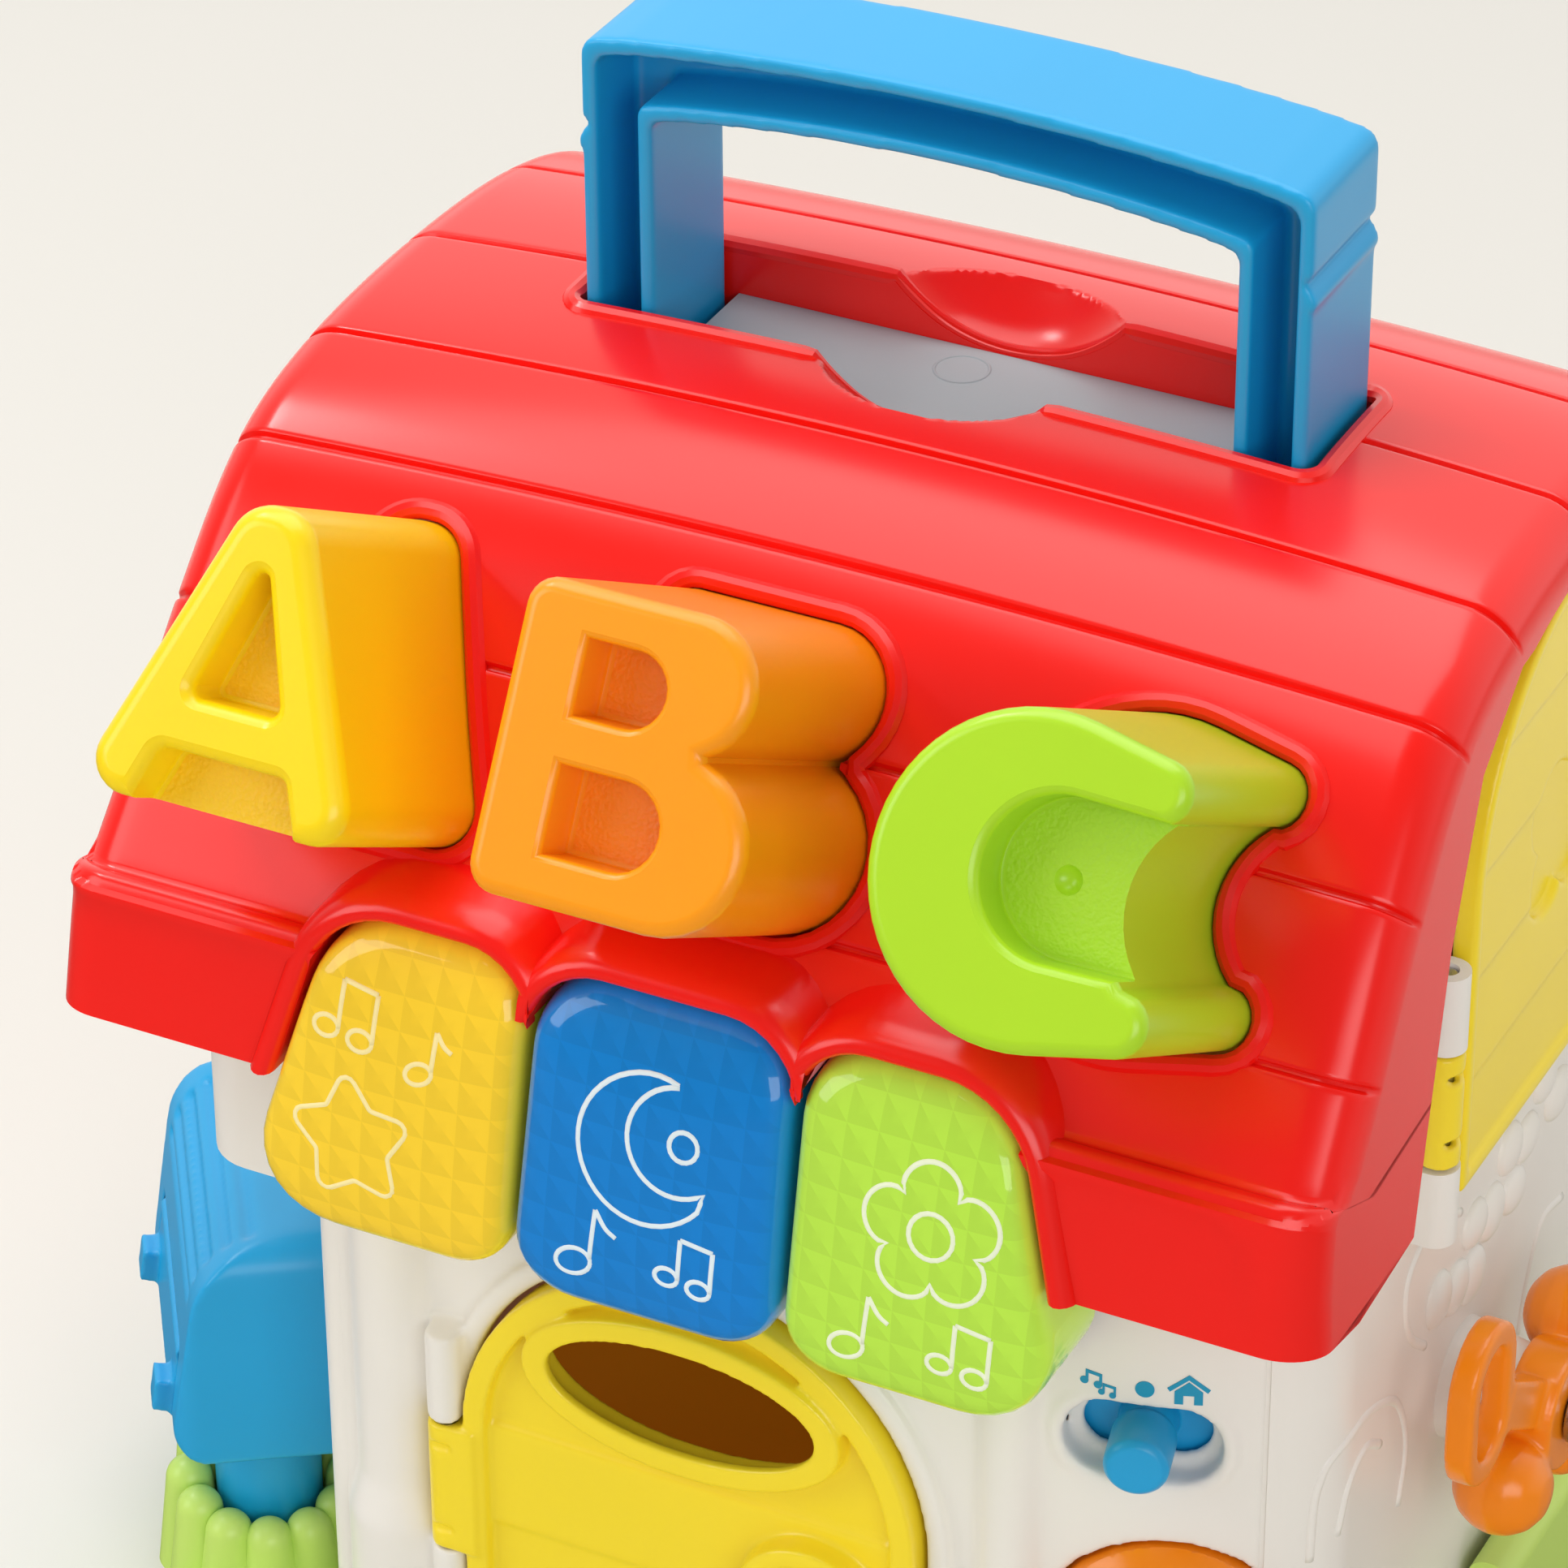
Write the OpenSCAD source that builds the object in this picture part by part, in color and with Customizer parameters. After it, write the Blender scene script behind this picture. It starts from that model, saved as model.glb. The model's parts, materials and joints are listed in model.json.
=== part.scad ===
// Shape sorter house: a toy house with a plank roof, three letter blocks, three light-up keys,
// a pull-up carrying handle, two doors and a mailbox. Millimetres, +Z up, -Y is the front.
// The origin lies on the floor, below the middle of the ridge.

/* [Roof] */
// Half length of the roof at the eave
roof_half = 104.6; // [104:0.1:106]
// Depth from the ridge to the foot of the plank slope
slope_run = 98.7; // [98.4:0.1:99.4]
// Height of the foot of the plank slope above the floor
slope_foot = 158.5; // [158:0.1:159]
// Rise of the ridge above that foot
slope_rise = 62; // [61.6:0.1:62.6]
// Rise of the ridge middle over its ends
crown = 4.4; // [3.8:0.1:5]
// Wall thickness of the moulded roof
roof_wall = 2.6; // [2.3:0.1:2.8]
// Width of the groove between two planks
groove_w = 1.6; // [1.2:0.1:2]

/* [Handle] */
// Half width over both legs
handle_half = 60; // [59.6:0.1:60.4]
// Height of the pulled-up handle at its corners
handle_top = 268; // [266:0.5:270]
// Depth of the handle from front to back
handle_depth = 24.8; // [23.8:0.1:25.2]
// Rise of the arched grip
handle_arch = 3.8; // [3:0.1:4.4]

/* [Letters] */
// Distance between neighbouring letters
letter_pitch = 62; // [61.6:0.1:62.6]
// Length of a letter block along its axis
letter_len = 62; // [60:0.5:63]
// Play between a block and its hole
letter_play = 0.7; // [0.6:0.05:1]
// Depth of the pockets in the letter faces
pocket_depth = 9; // [6:0.5:11]

/* [Keys] */
// Play between a key and the scalloped roof edge
key_play = 0.9; // [0.7:0.05:1.2]
// Width of the raised hood over the keys
hood_w = 4.4; // [3.6:0.2:5.2]
// Wall thickness of a key cap
key_wall = 2; // [1.6:0.1:2.4]

/* [House] */
// Thickness of the house walls
wall = 2.6; // [2.4:0.1:2.8]
// Height of the wall tops
wall_top = 154; // [150:0.5:155]
// Height of the lawn on the base
lawn_top = 10; // [9:0.25:10.5]

/* [Doors] */
// Half width of the front door
door_half = 39.1; // [38.5:0.1:39.3]
// Height where the front door arch starts
door_spring = 68; // [67:0.25:68.5]
// Half width of the gable door
gable_half = 38.6; // [37.8:0.1:38.8]

/* [Hidden] */
$fn = 48;
roof_floor = 137;
end_lean = 0.045;
end_round = 8;
fan_z = 118;
front_lean = 11.5;
door_x = -2.3;
hinge_x = -44.8;
hinge_y = -93.2;
hinge_low = 43.6;
hinge_high = 68.4;
corner_x = 56;
corner_y = -30;
corner_r = 60;
front_y = corner_y - corner_r;
right_x = 96;
left_x = -70;
back_y = 90;
letter_tilt = 30;
letter_mid = [0, -73.5, 190];
letter_out = 46;
slot_half_x = handle_half + 1.6;
slot_half_y = handle_depth / 2 + 1.1;
gable_spring = 173;
gable_hinge = [98.4, -43.6];
bay_low = 97;
column_top = 110.4;
switch_a = 14.5;
bell_a = 19;
bell_z = 62;
latch_x = 20;
box_pos = [-84, -76, 34];
box_turn = 34.5;
box_len = 60;
post_side = -4;
post_y = 13;
post_x = [box_pos[0] + post_side * cos(box_turn) - post_y * sin(box_turn),
    box_pos[1] + post_side * sin(box_turn) + post_y * cos(box_turn)];
latch_z = 54.5;
spin_x = 107;
spin_y = -22.8;
spin_z = 75.8;

// plain vector and polygon helpers

function unit(v) = v / norm(v);

function arc(c, r, a0, a1, n) =
    [for (i = [0:n]) let (a = a0 + (a1 - a0) * i / n) c + r * [cos(a), sin(a)]];

function turn(a) = a > 180 ? a - 360 : a < -180 ? a + 360 : a;

function fillet(a, b, c, r, n) =
    let (u = unit(a - b), v = unit(c - b), half = acos(u * v) / 2)
    let (m = b + unit(u + v) * r / sin(half), s = b + u * r / tan(half) - m)
    let (e = b + v * r / tan(half) - m, a0 = atan2(s[1], s[0]))
    let (sweep = turn(atan2(e[1], e[0]) - a0))
    [for (i = [0:n]) m + r * [cos(a0 + sweep * i / n), sin(a0 + sweep * i / n)]];

function round_poly(p, r, n = 8) =
    [for (i = [0:len(p) - 1])
        each fillet(p[(i + len(p) - 1) % len(p)], p[i], p[(i + 1) % len(p)], r[i], n)];

// The roof is a loft: one curved plank profile carried along the ridge, crowned in the middle and
// rolled over at both ends.

roof_ctrl = [for (p = [[0, 1], [0.311, 0.965], [0.532, 0.842], [0.724, 0.544], [0.886, 0.218], [1, 0]])
    [p[0] * slope_run, slope_foot + p[1] * slope_rise]];

function ctrl(i) =
    i < 0 ? [-roof_ctrl[-i][0], roof_ctrl[-i][1]] :
    i > 5 ? 2 * roof_ctrl[5] - roof_ctrl[4] : roof_ctrl[i];

// point on the smooth plank curve between control points i and i + 1
function on_curve(i, t) =
    let (a = ctrl(i - 1), b = ctrl(i), c = ctrl(i + 1), d = ctrl(i + 2))
    0.5 * (2 * b + (c - a) * t + (2 * a - 5 * b + 4 * c - d) * t * t
        + (3 * b - a - 3 * c + d) * t * t * t);

function plank(i, n) =
    let (len = norm(ctrl(i + 1) - ctrl(i)), cut = groove_w / 2 / len)
    let (last = i == 4 ? 1 : 1 - cut)
    [for (k = [0:n]) let (p = on_curve(i, cut + (last - cut) * k / n)) [p[0], p[1], 0]];

function groove(i, depth) =
    let (a = on_curve(i - 1, 0.985), b = on_curve(i, 0.015))
    [[a[0], a[1], depth], [b[0], b[1], depth]];

fascia_edge = [[slope_run + 2, slope_foot + 1.2, 0], [slope_run + 3.6, slope_foot + 0.9, 0],
    [slope_run + 4.6, slope_foot - 0.4, 0], [slope_run + 5, slope_foot - 2, 0],
    [slope_run + 6.8, slope_foot - 12, 0], [slope_run + 8.4, roof_floor - 0.4, 0]];

// half profile from the ridge to the eave, each point with the depth of the groove it lies in
function half_profile(n, depth) =
    depth > 0 ?
        concat([[0, on_curve(0, 0)[1], depth]], plank(0, n), groove(1, depth), plank(1, n),
            groove(2, depth), plank(2, n), groove(3, depth), plank(3, n), groove(4, depth),
            plank(4, n), fascia_edge) :
        concat([for (i = [0:4], k = [0:n]) if (i == 4 || k < n) let (p = on_curve(i, k / n))
            [p[0], p[1], 0]], fascia_edge);

function full_profile(n, depth, drop) =
    let (h = half_profile(n, depth), e = h[len(h) - 1])
    concat([[-e[0], e[1] - drop, 0]], [for (i = [len(h) - 1:-1:1]) [-h[i][0], h[i][1], h[i][2]]],
        h, [[e[0], e[1] - drop, 0]]);

// one ring of the loft at x, moved in by d, with groove depth turned by the end angle
function ring(profile, x, d, a, cut) =
    [for (p = profile)
        let (ray = unit([p[0], p[1] - fan_z]), q = [p[0], p[1]] - (d + cut * p[2] * cos(a)) * ray)
        let (high = max(0, (q[1] - slope_foot) / slope_rise), s = x / roof_half)
        [(x - sign(x) * cut * p[2] * sin(a)) * (1 - end_lean * (q[1] - roof_floor) / roof_half), q[0],
            q[1] + crown * (1 - s * s) * high * high]];

function stations(grow, rim, steps) =
    let (r = end_round + grow, m = roof_half - end_round)
    concat([[-(m + r - 0.8), rim + 0.8 - grow, 90, 0], [-(m + r), rim - grow, 90, 1]],
        [for (k = [0:3]) let (a = 90 - 22.5 * k) [-(m + r * sin(a)), r * (1 - cos(a)) - grow, a, 1]],
        [for (k = [0:steps]) [-m + 2 * m * k / steps, -grow, 0, 1]],
        [for (k = [1:4]) let (a = 22.5 * k) [m + r * sin(a), r * (1 - cos(a)) - grow, a, 1]],
        [[m + r, rim - grow, 90, 1]]);

module skin(rings) {
    n = len(rings[0]);
    m = len(rings);
    points = concat([for (r = rings) each r],
        [[rings[0][0][0], 0, 160], [rings[m - 1][0][0], 0, 160]]);
    sides = [for (i = [0:m - 2], j = [0:n - 1]) let (k = (j + 1) % n)
        each [[i * n + j, i * n + k, (i + 1) * n + k], [i * n + j, (i + 1) * n + k, (i + 1) * n + j]]];
    caps = [for (j = [0:n - 1]) let (k = (j + 1) % n)
        each [[m * n, k, j], [m * n + 1, (m - 1) * n + j, (m - 1) * n + k]]];
    polyhedron(points, concat(sides, caps), convexity = 12);
}

// the roof as a full block, grown outwards by a distance
module roof_block(grow, n, depth, steps, drop = 0) {
    skin([for (s = stations(grow, end_round + 10, steps))
        ring(full_profile(n, depth, drop), s[0], s[1], s[2], s[3])]);
}

module roof_inside() roof_block(-roof_wall, 2, 0, 8, 16);

// opening in the right roof end, around the gable door
module gable_gap() {
    gap = concat([[-74, 120]], [for (p = [[-64, 150], [-55, 176], [-43, 199], [-28, 209]]) p],
        [for (p = [[28, 209], [43, 199], [55, 176], [64, 150]]) p], [[74, 120]]);
    top = concat([for (i = [0:4]) gap[i]], arc([0, 128], 84.6, 106, 74, 8),
        [for (i = [5:9]) gap[i]]);
    translate([roof_half - 12, 0, 0])
        rotate([90, 0, 90])
            linear_extrude(20) polygon(top);
}

// letters, drawn in the plane of their faces

function shape_a(g) =
    round_poly([[-23.7 - 1.3 * g, -24 - g], [23.7 + 1.3 * g, -24 - g], [5.2 + 0.7 * g, 22.3 + g],
        [-5.2 - 0.7 * g, 22.3 + g]], [5.5 + g, 5.5 + g, 6.8 + g, 6.8 + g]);

b_low = [8, -10.3];
b_high = [7, 12.2];

function shape_b(g) =
    let (r1 = 13.2 + g, r2 = 10.3 + g, d = norm(b_high - b_low))
    let (base = atan2(b_high[1] - b_low[1], b_high[0] - b_low[0]))
    let (a1 = acos((r1 * r1 + d * d - r2 * r2) / (2 * r1 * d)))
    let (a2 = acos((r2 * r2 + d * d - r1 * r1) / (2 * r2 * d)))
    concat(arc(b_low, r1, -90, base - a1 - 5, 12), arc(b_high, r2, base - 180 + a2 + 6, 90, 12),
        arc([-16, 18], 4.5 + g, 90, 180, 6), arc([-16, -19], 4.5 + g, 180, 270, 6));

function shape_c(g) =
    concat(arc([0.5, -2], 23.9 + g, 78, 282, 30), arc([17.3, -17.9], 4.8 + g, -78, 60, 8),
        arc([28, -1.6], 15.8 - g, 227, 133, 12), arc([16.3, 14.3], 4.7 + g, -60, 78, 8));

// lay a letter drawing on its axis: the block comes out along +Z of this frame
module at_letter(i) {
    translate(letter_mid + [i * letter_pitch, 0, 0])
        rotate([-letter_tilt, 0, 0])
            rotate([90, 0, 0])
                children();
}

// a letter outline as a block, hollowed from behind by a smaller outline
module letter_body(points, hollow) {
    difference() {
        translate([0, 0, letter_out - letter_len])
            linear_extrude(letter_len) polygon(points);
        translate([0, 0, letter_out - letter_len - 1])
            linear_extrude(letter_len - pocket_depth - 2.4) polygon(hollow);
    }
}

module letter_a() {
    color("gold")
        at_letter(-1)
            difference() {
                letter_body(shape_a(0), shape_a(-2.4));
                translate([0, 0, letter_out - pocket_depth])
                    linear_extrude(pocket_depth + 1)
                        polygon(round_poly([[-7.6, -7.4], [7.6, -7.4], [0, 15]], [1.5, 1.5, 1.2]));
                translate([0, 0, letter_out - pocket_depth])
                    linear_extrude(pocket_depth + 1)
                        polygon([[-14, -26], [14, -26], [10.4, -15.4], [-10.4, -15.4]]);
            }
}

module letter_b() {
    color("darkorange")
        at_letter(0)
            difference() {
                // too slim at its waist to follow its outline, so only the spine is hollowed
                letter_body(shape_b(0), concat([[0, 0]], arc([-16, 18], 2.1, 90, 180, 6),
                    arc([-16, -19], 2.1, 180, 270, 6)));
                translate([0, 0, letter_out - pocket_depth])
                    linear_extrude(pocket_depth + 1)
                        polygon(concat([[-9.5, 15.2], [-9.5, 4]], arc([-1.6, 9.6], 5.6, -90, 90, 12)));
                translate([0, 0, letter_out - pocket_depth])
                    linear_extrude(pocket_depth + 1)
                        polygon(concat([[-9.5, -3], [-9.5, -16]], arc([1, -9.5], 6.5, -90, 90, 12)));
            }
}

module letter_c() {
    color("yellowgreen")
        at_letter(1)
            difference() {
                letter_body(shape_c(0), shape_c(-2.4));
                translate([0, 0, letter_out - pocket_depth])
                    linear_extrude(pocket_depth + 1)
                        polygon(concat(arc([4.9, -0.8], 11.7, 92, 268, 24), [[23, -12], [23, 10.2]]));
                translate([3.4, -1.2, letter_out - pocket_depth + 1.2])
                    sphere(2.2);
            }
}

// keys, drawn in the front view (x, z) and pressed straight back

function key_left_shape(g) =
    round_poly([[-69.5 - 1.31 * g, 113.8 - g], [-22.9 + g, 113.8 - g], [-22.9 + g, 164.6 + g],
        [-55.5 - 0.763 * g, 164.6 + g]], [13 + g, 9 + g, 10 + g, 14 + g]);

function key_middle_shape(g) =
    round_poly([[-22.1 - g, 113.4 - g], [22.1 + g, 113.4 - g], [21 + g, 164.8 + g],
        [-21 - g, 164.8 + g]], [10 + g, 10 + g, 11 + g, 11 + g]);

function mirror_x(p) = [for (i = [len(p) - 1:-1:0]) [-p[i][0], p[i][1]]];

function key_shape(i, g) =
    i == 0 ? key_middle_shape(g) : i < 0 ? key_left_shape(g) : mirror_x(key_left_shape(g));

// a front-view drawing carried from y = near to y = far
module along_y(points, near, far) {
    translate([0, far, 0])
        rotate([90, 0, 0])
            linear_extrude(far - near) polygon(points);
}

// everything behind the leaning front of the fascia, moved out by a distance
module behind_front(out, bow) {
    translate([0, -(slope_run + 8.2) - out, roof_floor])
        rotate([-front_lean, 0, 0])
            translate([0, bow, 0])
                cylinder(r = bow, h = 260, center = true, $fn = 96);
}

key_x = [-45, 0, 45];

// the pillow front of a key, moved back by a distance
module key_front(mid, back) {
    intersection() {
        translate([mid, back, 0]) behind_front(4.2, 150);
        translate([mid, back - slope_run - 12.8 + 78 * cos(front_lean), 139 - 78 * sin(front_lean)])
            rotate([0, 90, 0])
                cylinder(r = 78, h = 200, center = true, $fn = 96);
    }
}

module key_cap(i) {
    mid = key_x[i + 1];
    back = front_y - 3.4;
    difference() {
        intersection() {
            along_y(key_shape(i, 0), -125, back);
            key_front(mid, 0);
        }
        intersection() {
            along_y([for (p = key_shape(i, 0)) [mid, 139] + (p - [mid, 139]) * (1 - key_wall / 20)],
                -125, back + 1);
            key_front(mid, key_wall + 0.4);
        }
    }
    translate([mid - 5, -109.7, 133]) cube([10, 29.7, 10]);
    for (s = [-1, 1]) {
        translate([mid + 13 * s - 1.5, -108.7, 136]) cube([3, 108.7 + front_y + wall + 2.4, 6]);
        translate([mid + 14.8 * s - 3.4, front_y + wall + 0.5, 136]) cube([6.8, 1.9, 6]);
    }
}

module key_left() color("khaki") key_cap(-1);

module key_middle() color("royalblue") key_cap(0);

module key_right() color("lawngreen") key_cap(1);

// roof with letter holes, key scallops, handle well and finger scoops

module letter_prism(i, g, low, high) {
    at_letter(i)
        translate([0, 0, low])
            linear_extrude(high - low)
                polygon(i < 0 ? shape_a(g) : i == 0 ? shape_b(g) : shape_c(g));
}

module slot_box(g, low, high) {
    x = slot_half_x + g;
    y = slot_half_y + g;
    translate([0, 0, low])
        linear_extrude(high - low)
            polygon(round_poly([[-x, -y], [x, -y], [x, y], [-x, y]], [3 + g, 3 + g, 3 + g, 3 + g]));
}

// finger dish beside the slot, grown outwards by a distance
module scoop(side, g) {
    translate([0, side * (slot_half_y - 3), slope_foot + slope_rise + 8])
        scale([1.55, 1, 1])
            sphere(13 + g, $fn = 40);
}

module key_hood() {
    intersection() {
        union() {
            for (i = [-1:1]) along_y(key_shape(i, hood_w), -125, -80);
        }
        behind_front(2.4, 900);
        translate([-100, -130, roof_floor - 0.4]) cube([200, 60, 60]);
    }
}

module roof_boss(x, y) {
    translate([x, y, 206.4]) cylinder(r = 3.6, h = 16, $fn = 24);
}

module roof_shell() {
    color("red")
        difference() {
            union() {
                roof_block(0, 3, 1.1, 10);
                intersection() {
                    roof_block(1.3, 2, 0, 8);
                    union() {
                        for (i = [-1:1]) letter_prism(i, letter_play + 2.9, -26, 26);
                        slot_box(2.4, 190, 240);
                    }
                }
                key_hood();
            }
            difference() {
                roof_inside();
                slot_box(2.4, 206.5, 240);
                for (s = [-1, 1]) scoop(s, 2.4);
                for (x = [-1, 1], y = [-1, 1]) roof_boss(68 * x, 18.5 * y);
            }
            for (i = [-1:1]) letter_prism(i, letter_play, -40, 40);
            for (i = [-1:1]) along_y(key_shape(i, key_play), -130, -84);
            slot_box(0, 190, 240);
            for (s = [-1, 1]) scoop(s, 0);
            gable_gap();
            for (x = [-1, 1], y = [-1, 1])
                translate([68 * x, 18.5 * y, 205]) cylinder(r = 1.4, h = 12, $fn = 16);
        }
}

// carrying handle: two U walls joined by a web, open to the front and the back

function handle_shape(i, low) =
    let (x = handle_half - i, z = handle_top - i, r = max(3 - i / 6, 1.6))
    concat([[-x, low]], arc([-x + r, z - r], r, 180, 100, 5),
        [for (k = [1:15]) let (u = -1 + k / 8) [u * x, z + handle_arch * (1 - u * u)]],
        arc([x - r, z - r], r, 80, 0, 5), [[x, low]]);

module handle() {
    low = 192;
    half = handle_depth / 2;
    color("dodgerblue")
        difference() {
            union() {
                difference() {
                    along_y(handle_shape(0, low), -half, half);
                    along_y(handle_shape(11.8, low - 1), -half - 1, half + 1);
                    along_y(concat(handle_shape(2.5, low + 3),
                        [for (p = mirror_x(handle_shape(9.5, low + 3))) [-p[0], p[1]]]),
                        -half - 1, 1.2);
                    along_y(concat(handle_shape(2.5, low + 3),
                        [for (p = mirror_x(handle_shape(9.5, low + 3))) [-p[0], p[1]]]),
                        3.8, half + 1);
                }
                for (s = [-1, 1])
                    translate([s * (handle_half - 0.4), 0, handle_top - 17.8])
                        rotate([90, 0, 0])
                            cylinder(r = 1.2, h = handle_depth, center = true);
            }
            for (s = [-1, 1])
                translate([s * handle_half - 1, -half - 1, handle_top - 15.6])
                    cube([2, handle_depth + 2, 2]);
        }
}

module handle_tray() {
    color("silver")
        difference() {
            union() {
                translate([-46.6, -slot_half_y + 0.2, 212.6]) cube([93.2, 2 * slot_half_y - 0.4, 2.6]);
                for (s = [-1, 1])
                    translate([-46.6, s * (slot_half_y - 1.3) - 1.1, 205])
                        cube([93.2, 2.2, 8]);
                translate([-73, -23.5, 203.6]) cube([146, 47, 2.6]);
                for (s = [-1, 1])
                    translate([s * (handle_half - 5.9) - 9.6, -slot_half_y - 2, 186])
                        cube([19.2, 2 * slot_half_y + 4, 18]);
            }
            for (s = [-1, 1])
                translate([s * (handle_half - 5.9) - 7.2, -slot_half_y + 0.3, 180])
                    cube([14.4, 2 * slot_half_y - 0.6, 26.4]);
            for (x = [-1, 1], y = [-1, 1])
                translate([68 * x, 18.5 * y, 200]) cylinder(r = 1.8, h = 10);
        }
}

module tray_screws() {
    color("gray")
        for (x = [-1, 1], y = [-1, 1])
            translate([68 * x, 18.5 * y, 0]) {
                translate([0, 0, 201.4]) cylinder(r = 2.8, h = 2);
                translate([0, 0, 203]) cylinder(r = 1.2, h = 11);
            }
}

// electronics behind the keys

module key_pad() {
    color("whitesmoke") {
        translate([-61.5, front_y + 14, 116]) cube([123, 1.4, 40]);
        for (x = key_x)
            translate([x, front_y + 14.2, 138])
                rotate([90, 0, 0])
                    cylinder(r1 = 6, r2 = 4.5, h = 1.2);
    }
}

module circuit_board() {
    color("darkgreen")
        difference() {
            translate([-68, front_y + 15.6, 112]) cube([136, 1.6, 46]);
            for (x = [-65, 65])
                translate([x, front_y + 20, 128])
                    rotate([90, 0, 0])
                        cylinder(r = 1.1, h = 8, $fn = 24);
        }
}

module key_lamps() {
    color("white")
        for (x = key_x)
            translate([x, front_y + 13.8, 151.5])
                rotate([90, 0, 0]) {
                    cylinder(r = 2.5, h = 5);
                    translate([0, 0, 5]) sphere(2.5);
                }
}

// house walls

// plan of the front wall: flat middle and a curved right corner
module wall_plan(r, a0, a1) {
    difference() {
        translate([corner_x, corner_y]) circle(r, $fn = 144);
        translate([corner_x, corner_y]) circle(r - wall, $fn = 144);
        translate([corner_x, corner_y])
            polygon([[0, 0], [-200 * sin(-a0), -200 * cos(a0)], [-300, -300], [-300, 300], [300, 300],
                [300, -200], [200 * sin(a1), -200 * cos(a1)]]);
    }
}

module at_corner(a, z) {
    translate([corner_x, corner_y, z])
        rotate([0, 0, a])
            translate([0, -corner_r, 0])
                children();
}

function arch_shape(x, half, low, spring) =
    concat([[x - half, low], [x + half, low]], arc([x, spring], half, 0, 180, 32));

module stadium(len, r, h) {
    for (s = [-1, 1]) translate([s * len / 2, 0, 0]) cylinder(r = r, h = h);
    translate([-len / 2, -r, 0]) cube([len, 2 * r, h]);
}

module hinge_block(z0, z1) {
    translate([hinge_x, hinge_y, z0]) cylinder(r = 3.1, h = z1 - z0);
    translate([hinge_x - 3.1, hinge_y, z0]) cube([6.2, front_y - hinge_y + 0.5, z1 - z0]);
}

module front_wall() {
    seam = 32;
    color("white")
        difference() {
            union() {
                translate([left_x + 4, front_y, lawn_top + 0.2])
                    cube([corner_x - left_x - 3.9, wall, wall_top - lawn_top]);
                translate([0, 0, lawn_top + 0.2])
                    linear_extrude(wall_top - lawn_top) wall_plan(corner_r, 0, seam);
                translate([-56, front_y + 3, lawn_top + 0.2]) cylinder(r = 7.8, h = column_top - lawn_top);
                translate([-56, front_y + 3, lawn_top + 0.2]) cylinder(r = 9.6, h = 34);
                translate([-56, front_y + 3, lawn_top + 34.1]) cylinder(r1 = 9.6, r2 = 7.7, h = 8);
                translate([50.5, front_y + 3.5, lawn_top + 0.2])
                    cylinder(r = 6.5, h = column_top - lawn_top);
                along_y(arch_shape(door_x, door_half + 4.6, lawn_top + 0.2, door_spring),
                    front_y - 2.2, front_y + 1);
                hinge_block(hinge_high, hinge_high + 17);
                hinge_block(hinge_low - 17, hinge_low);
                at_corner(switch_a, 99)
                    translate([0, 7, 0])
                        rotate([90, 0, 0])
                            stadium(11, 8.8, 6.5);
                for (x = [-65, 65])
                    translate([x, front_y + 15.4, 128])
                        rotate([90, 0, 0])
                            cylinder(r = 2.6, h = 13.4);
            }
            along_y(arch_shape(door_x, door_half + 0.8, 0, door_spring), front_y - 12, front_y + 12);
            for (x = key_x) translate([x - 16.5, front_y - 1, 126]) cube([33, wall + 2, 29]);
            at_corner(switch_a, 99)
                translate([0, 5, 0])
                    rotate([90, 0, 0])
                        stadium(10.5, 6.8, 20);
            at_corner(switch_a, 99)
                translate([0, 10, 0])
                    rotate([90, 0, 0])
                        stadium(9.6, 4.9, 20);
            at_corner(bell_a, bell_z)
                translate([0, 10, 0])
                    rotate([90, 0, 0])
                        cylinder(r = 18.9, h = 20);
            translate([-56, front_y + 3, 0]) cylinder(r = 5.2, h = column_top - 2.4);
            translate([50.5, front_y + 3.5, 0]) cylinder(r = 4, h = column_top - 2.4);
            translate([hinge_x, hinge_y, 20]) cylinder(r = 1.65, h = 64);
            translate([hinge_x, hinge_y, hinge_low]) cylinder(r = 3.7, h = hinge_high - hinge_low);
            translate([left_x - 2, front_y + 5.6, 0]) cube([20, 20, 200]);
            translate([left_x - 2, front_y + 5.6, 0]) cube([28, 20, 112]);
            translate([43, front_y + wall, 0]) cube([15, 12, 112]);
        }
}

function shell_plan(g) =
    concat([[left_x + g, front_y + 6], [left_x + g, back_y - 20]],
        arc([left_x + 20, back_y - 20], 20 - g, 180, 90, 10),
        arc([right_x - 20, back_y - 20], 20 - g, 90, 0, 10),
        arc([right_x - 17, corner_y - 36.3], 17 - g, 0, -57.5, 10));

// plan of the bay that overhangs the mailbox on the left
function bay_plan(g) =
    round_poly([[left_x - 24.4 + g, front_y + 6 + g], [left_x + 2.6, front_y + 6 + g],
        [left_x + 2.6, -30 - g], [left_x - 24.4 + g, -30 - g]], [9 - g, 0.5, 0.5, 9 - g], 8);

// gable wall under the roof, cut from the roof profile
module gable_plate(x, half, top) {
    intersection() {
        translate([x, 0, 0])
            rotate([90, 0, 90])
                linear_extrude(wall)
                    intersection() {
                        polygon([for (p = full_profile(4, 0, 0))
                            let (r = unit([p[0], p[1] - fan_z])) [p[0], p[1]] - (roof_wall + 2.6) * r]);
                        translate([-half, wall_top - 20]) square([2 * half, top - wall_top + 20]);
                    }
        translate([-150, -150, wall_top - 20]) cube([300, 300, 200]);
    }
}

module gable_block(z0, z1) {
    translate([gable_hinge[0], gable_hinge[1], z0]) cylinder(r = 3.4, h = z1 - z0);
    translate([right_x - 0.5, gable_hinge[1] - 3.4, z0])
        cube([gable_hinge[0] - right_x + 0.5, 6.8, z1 - z0]);
}

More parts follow.
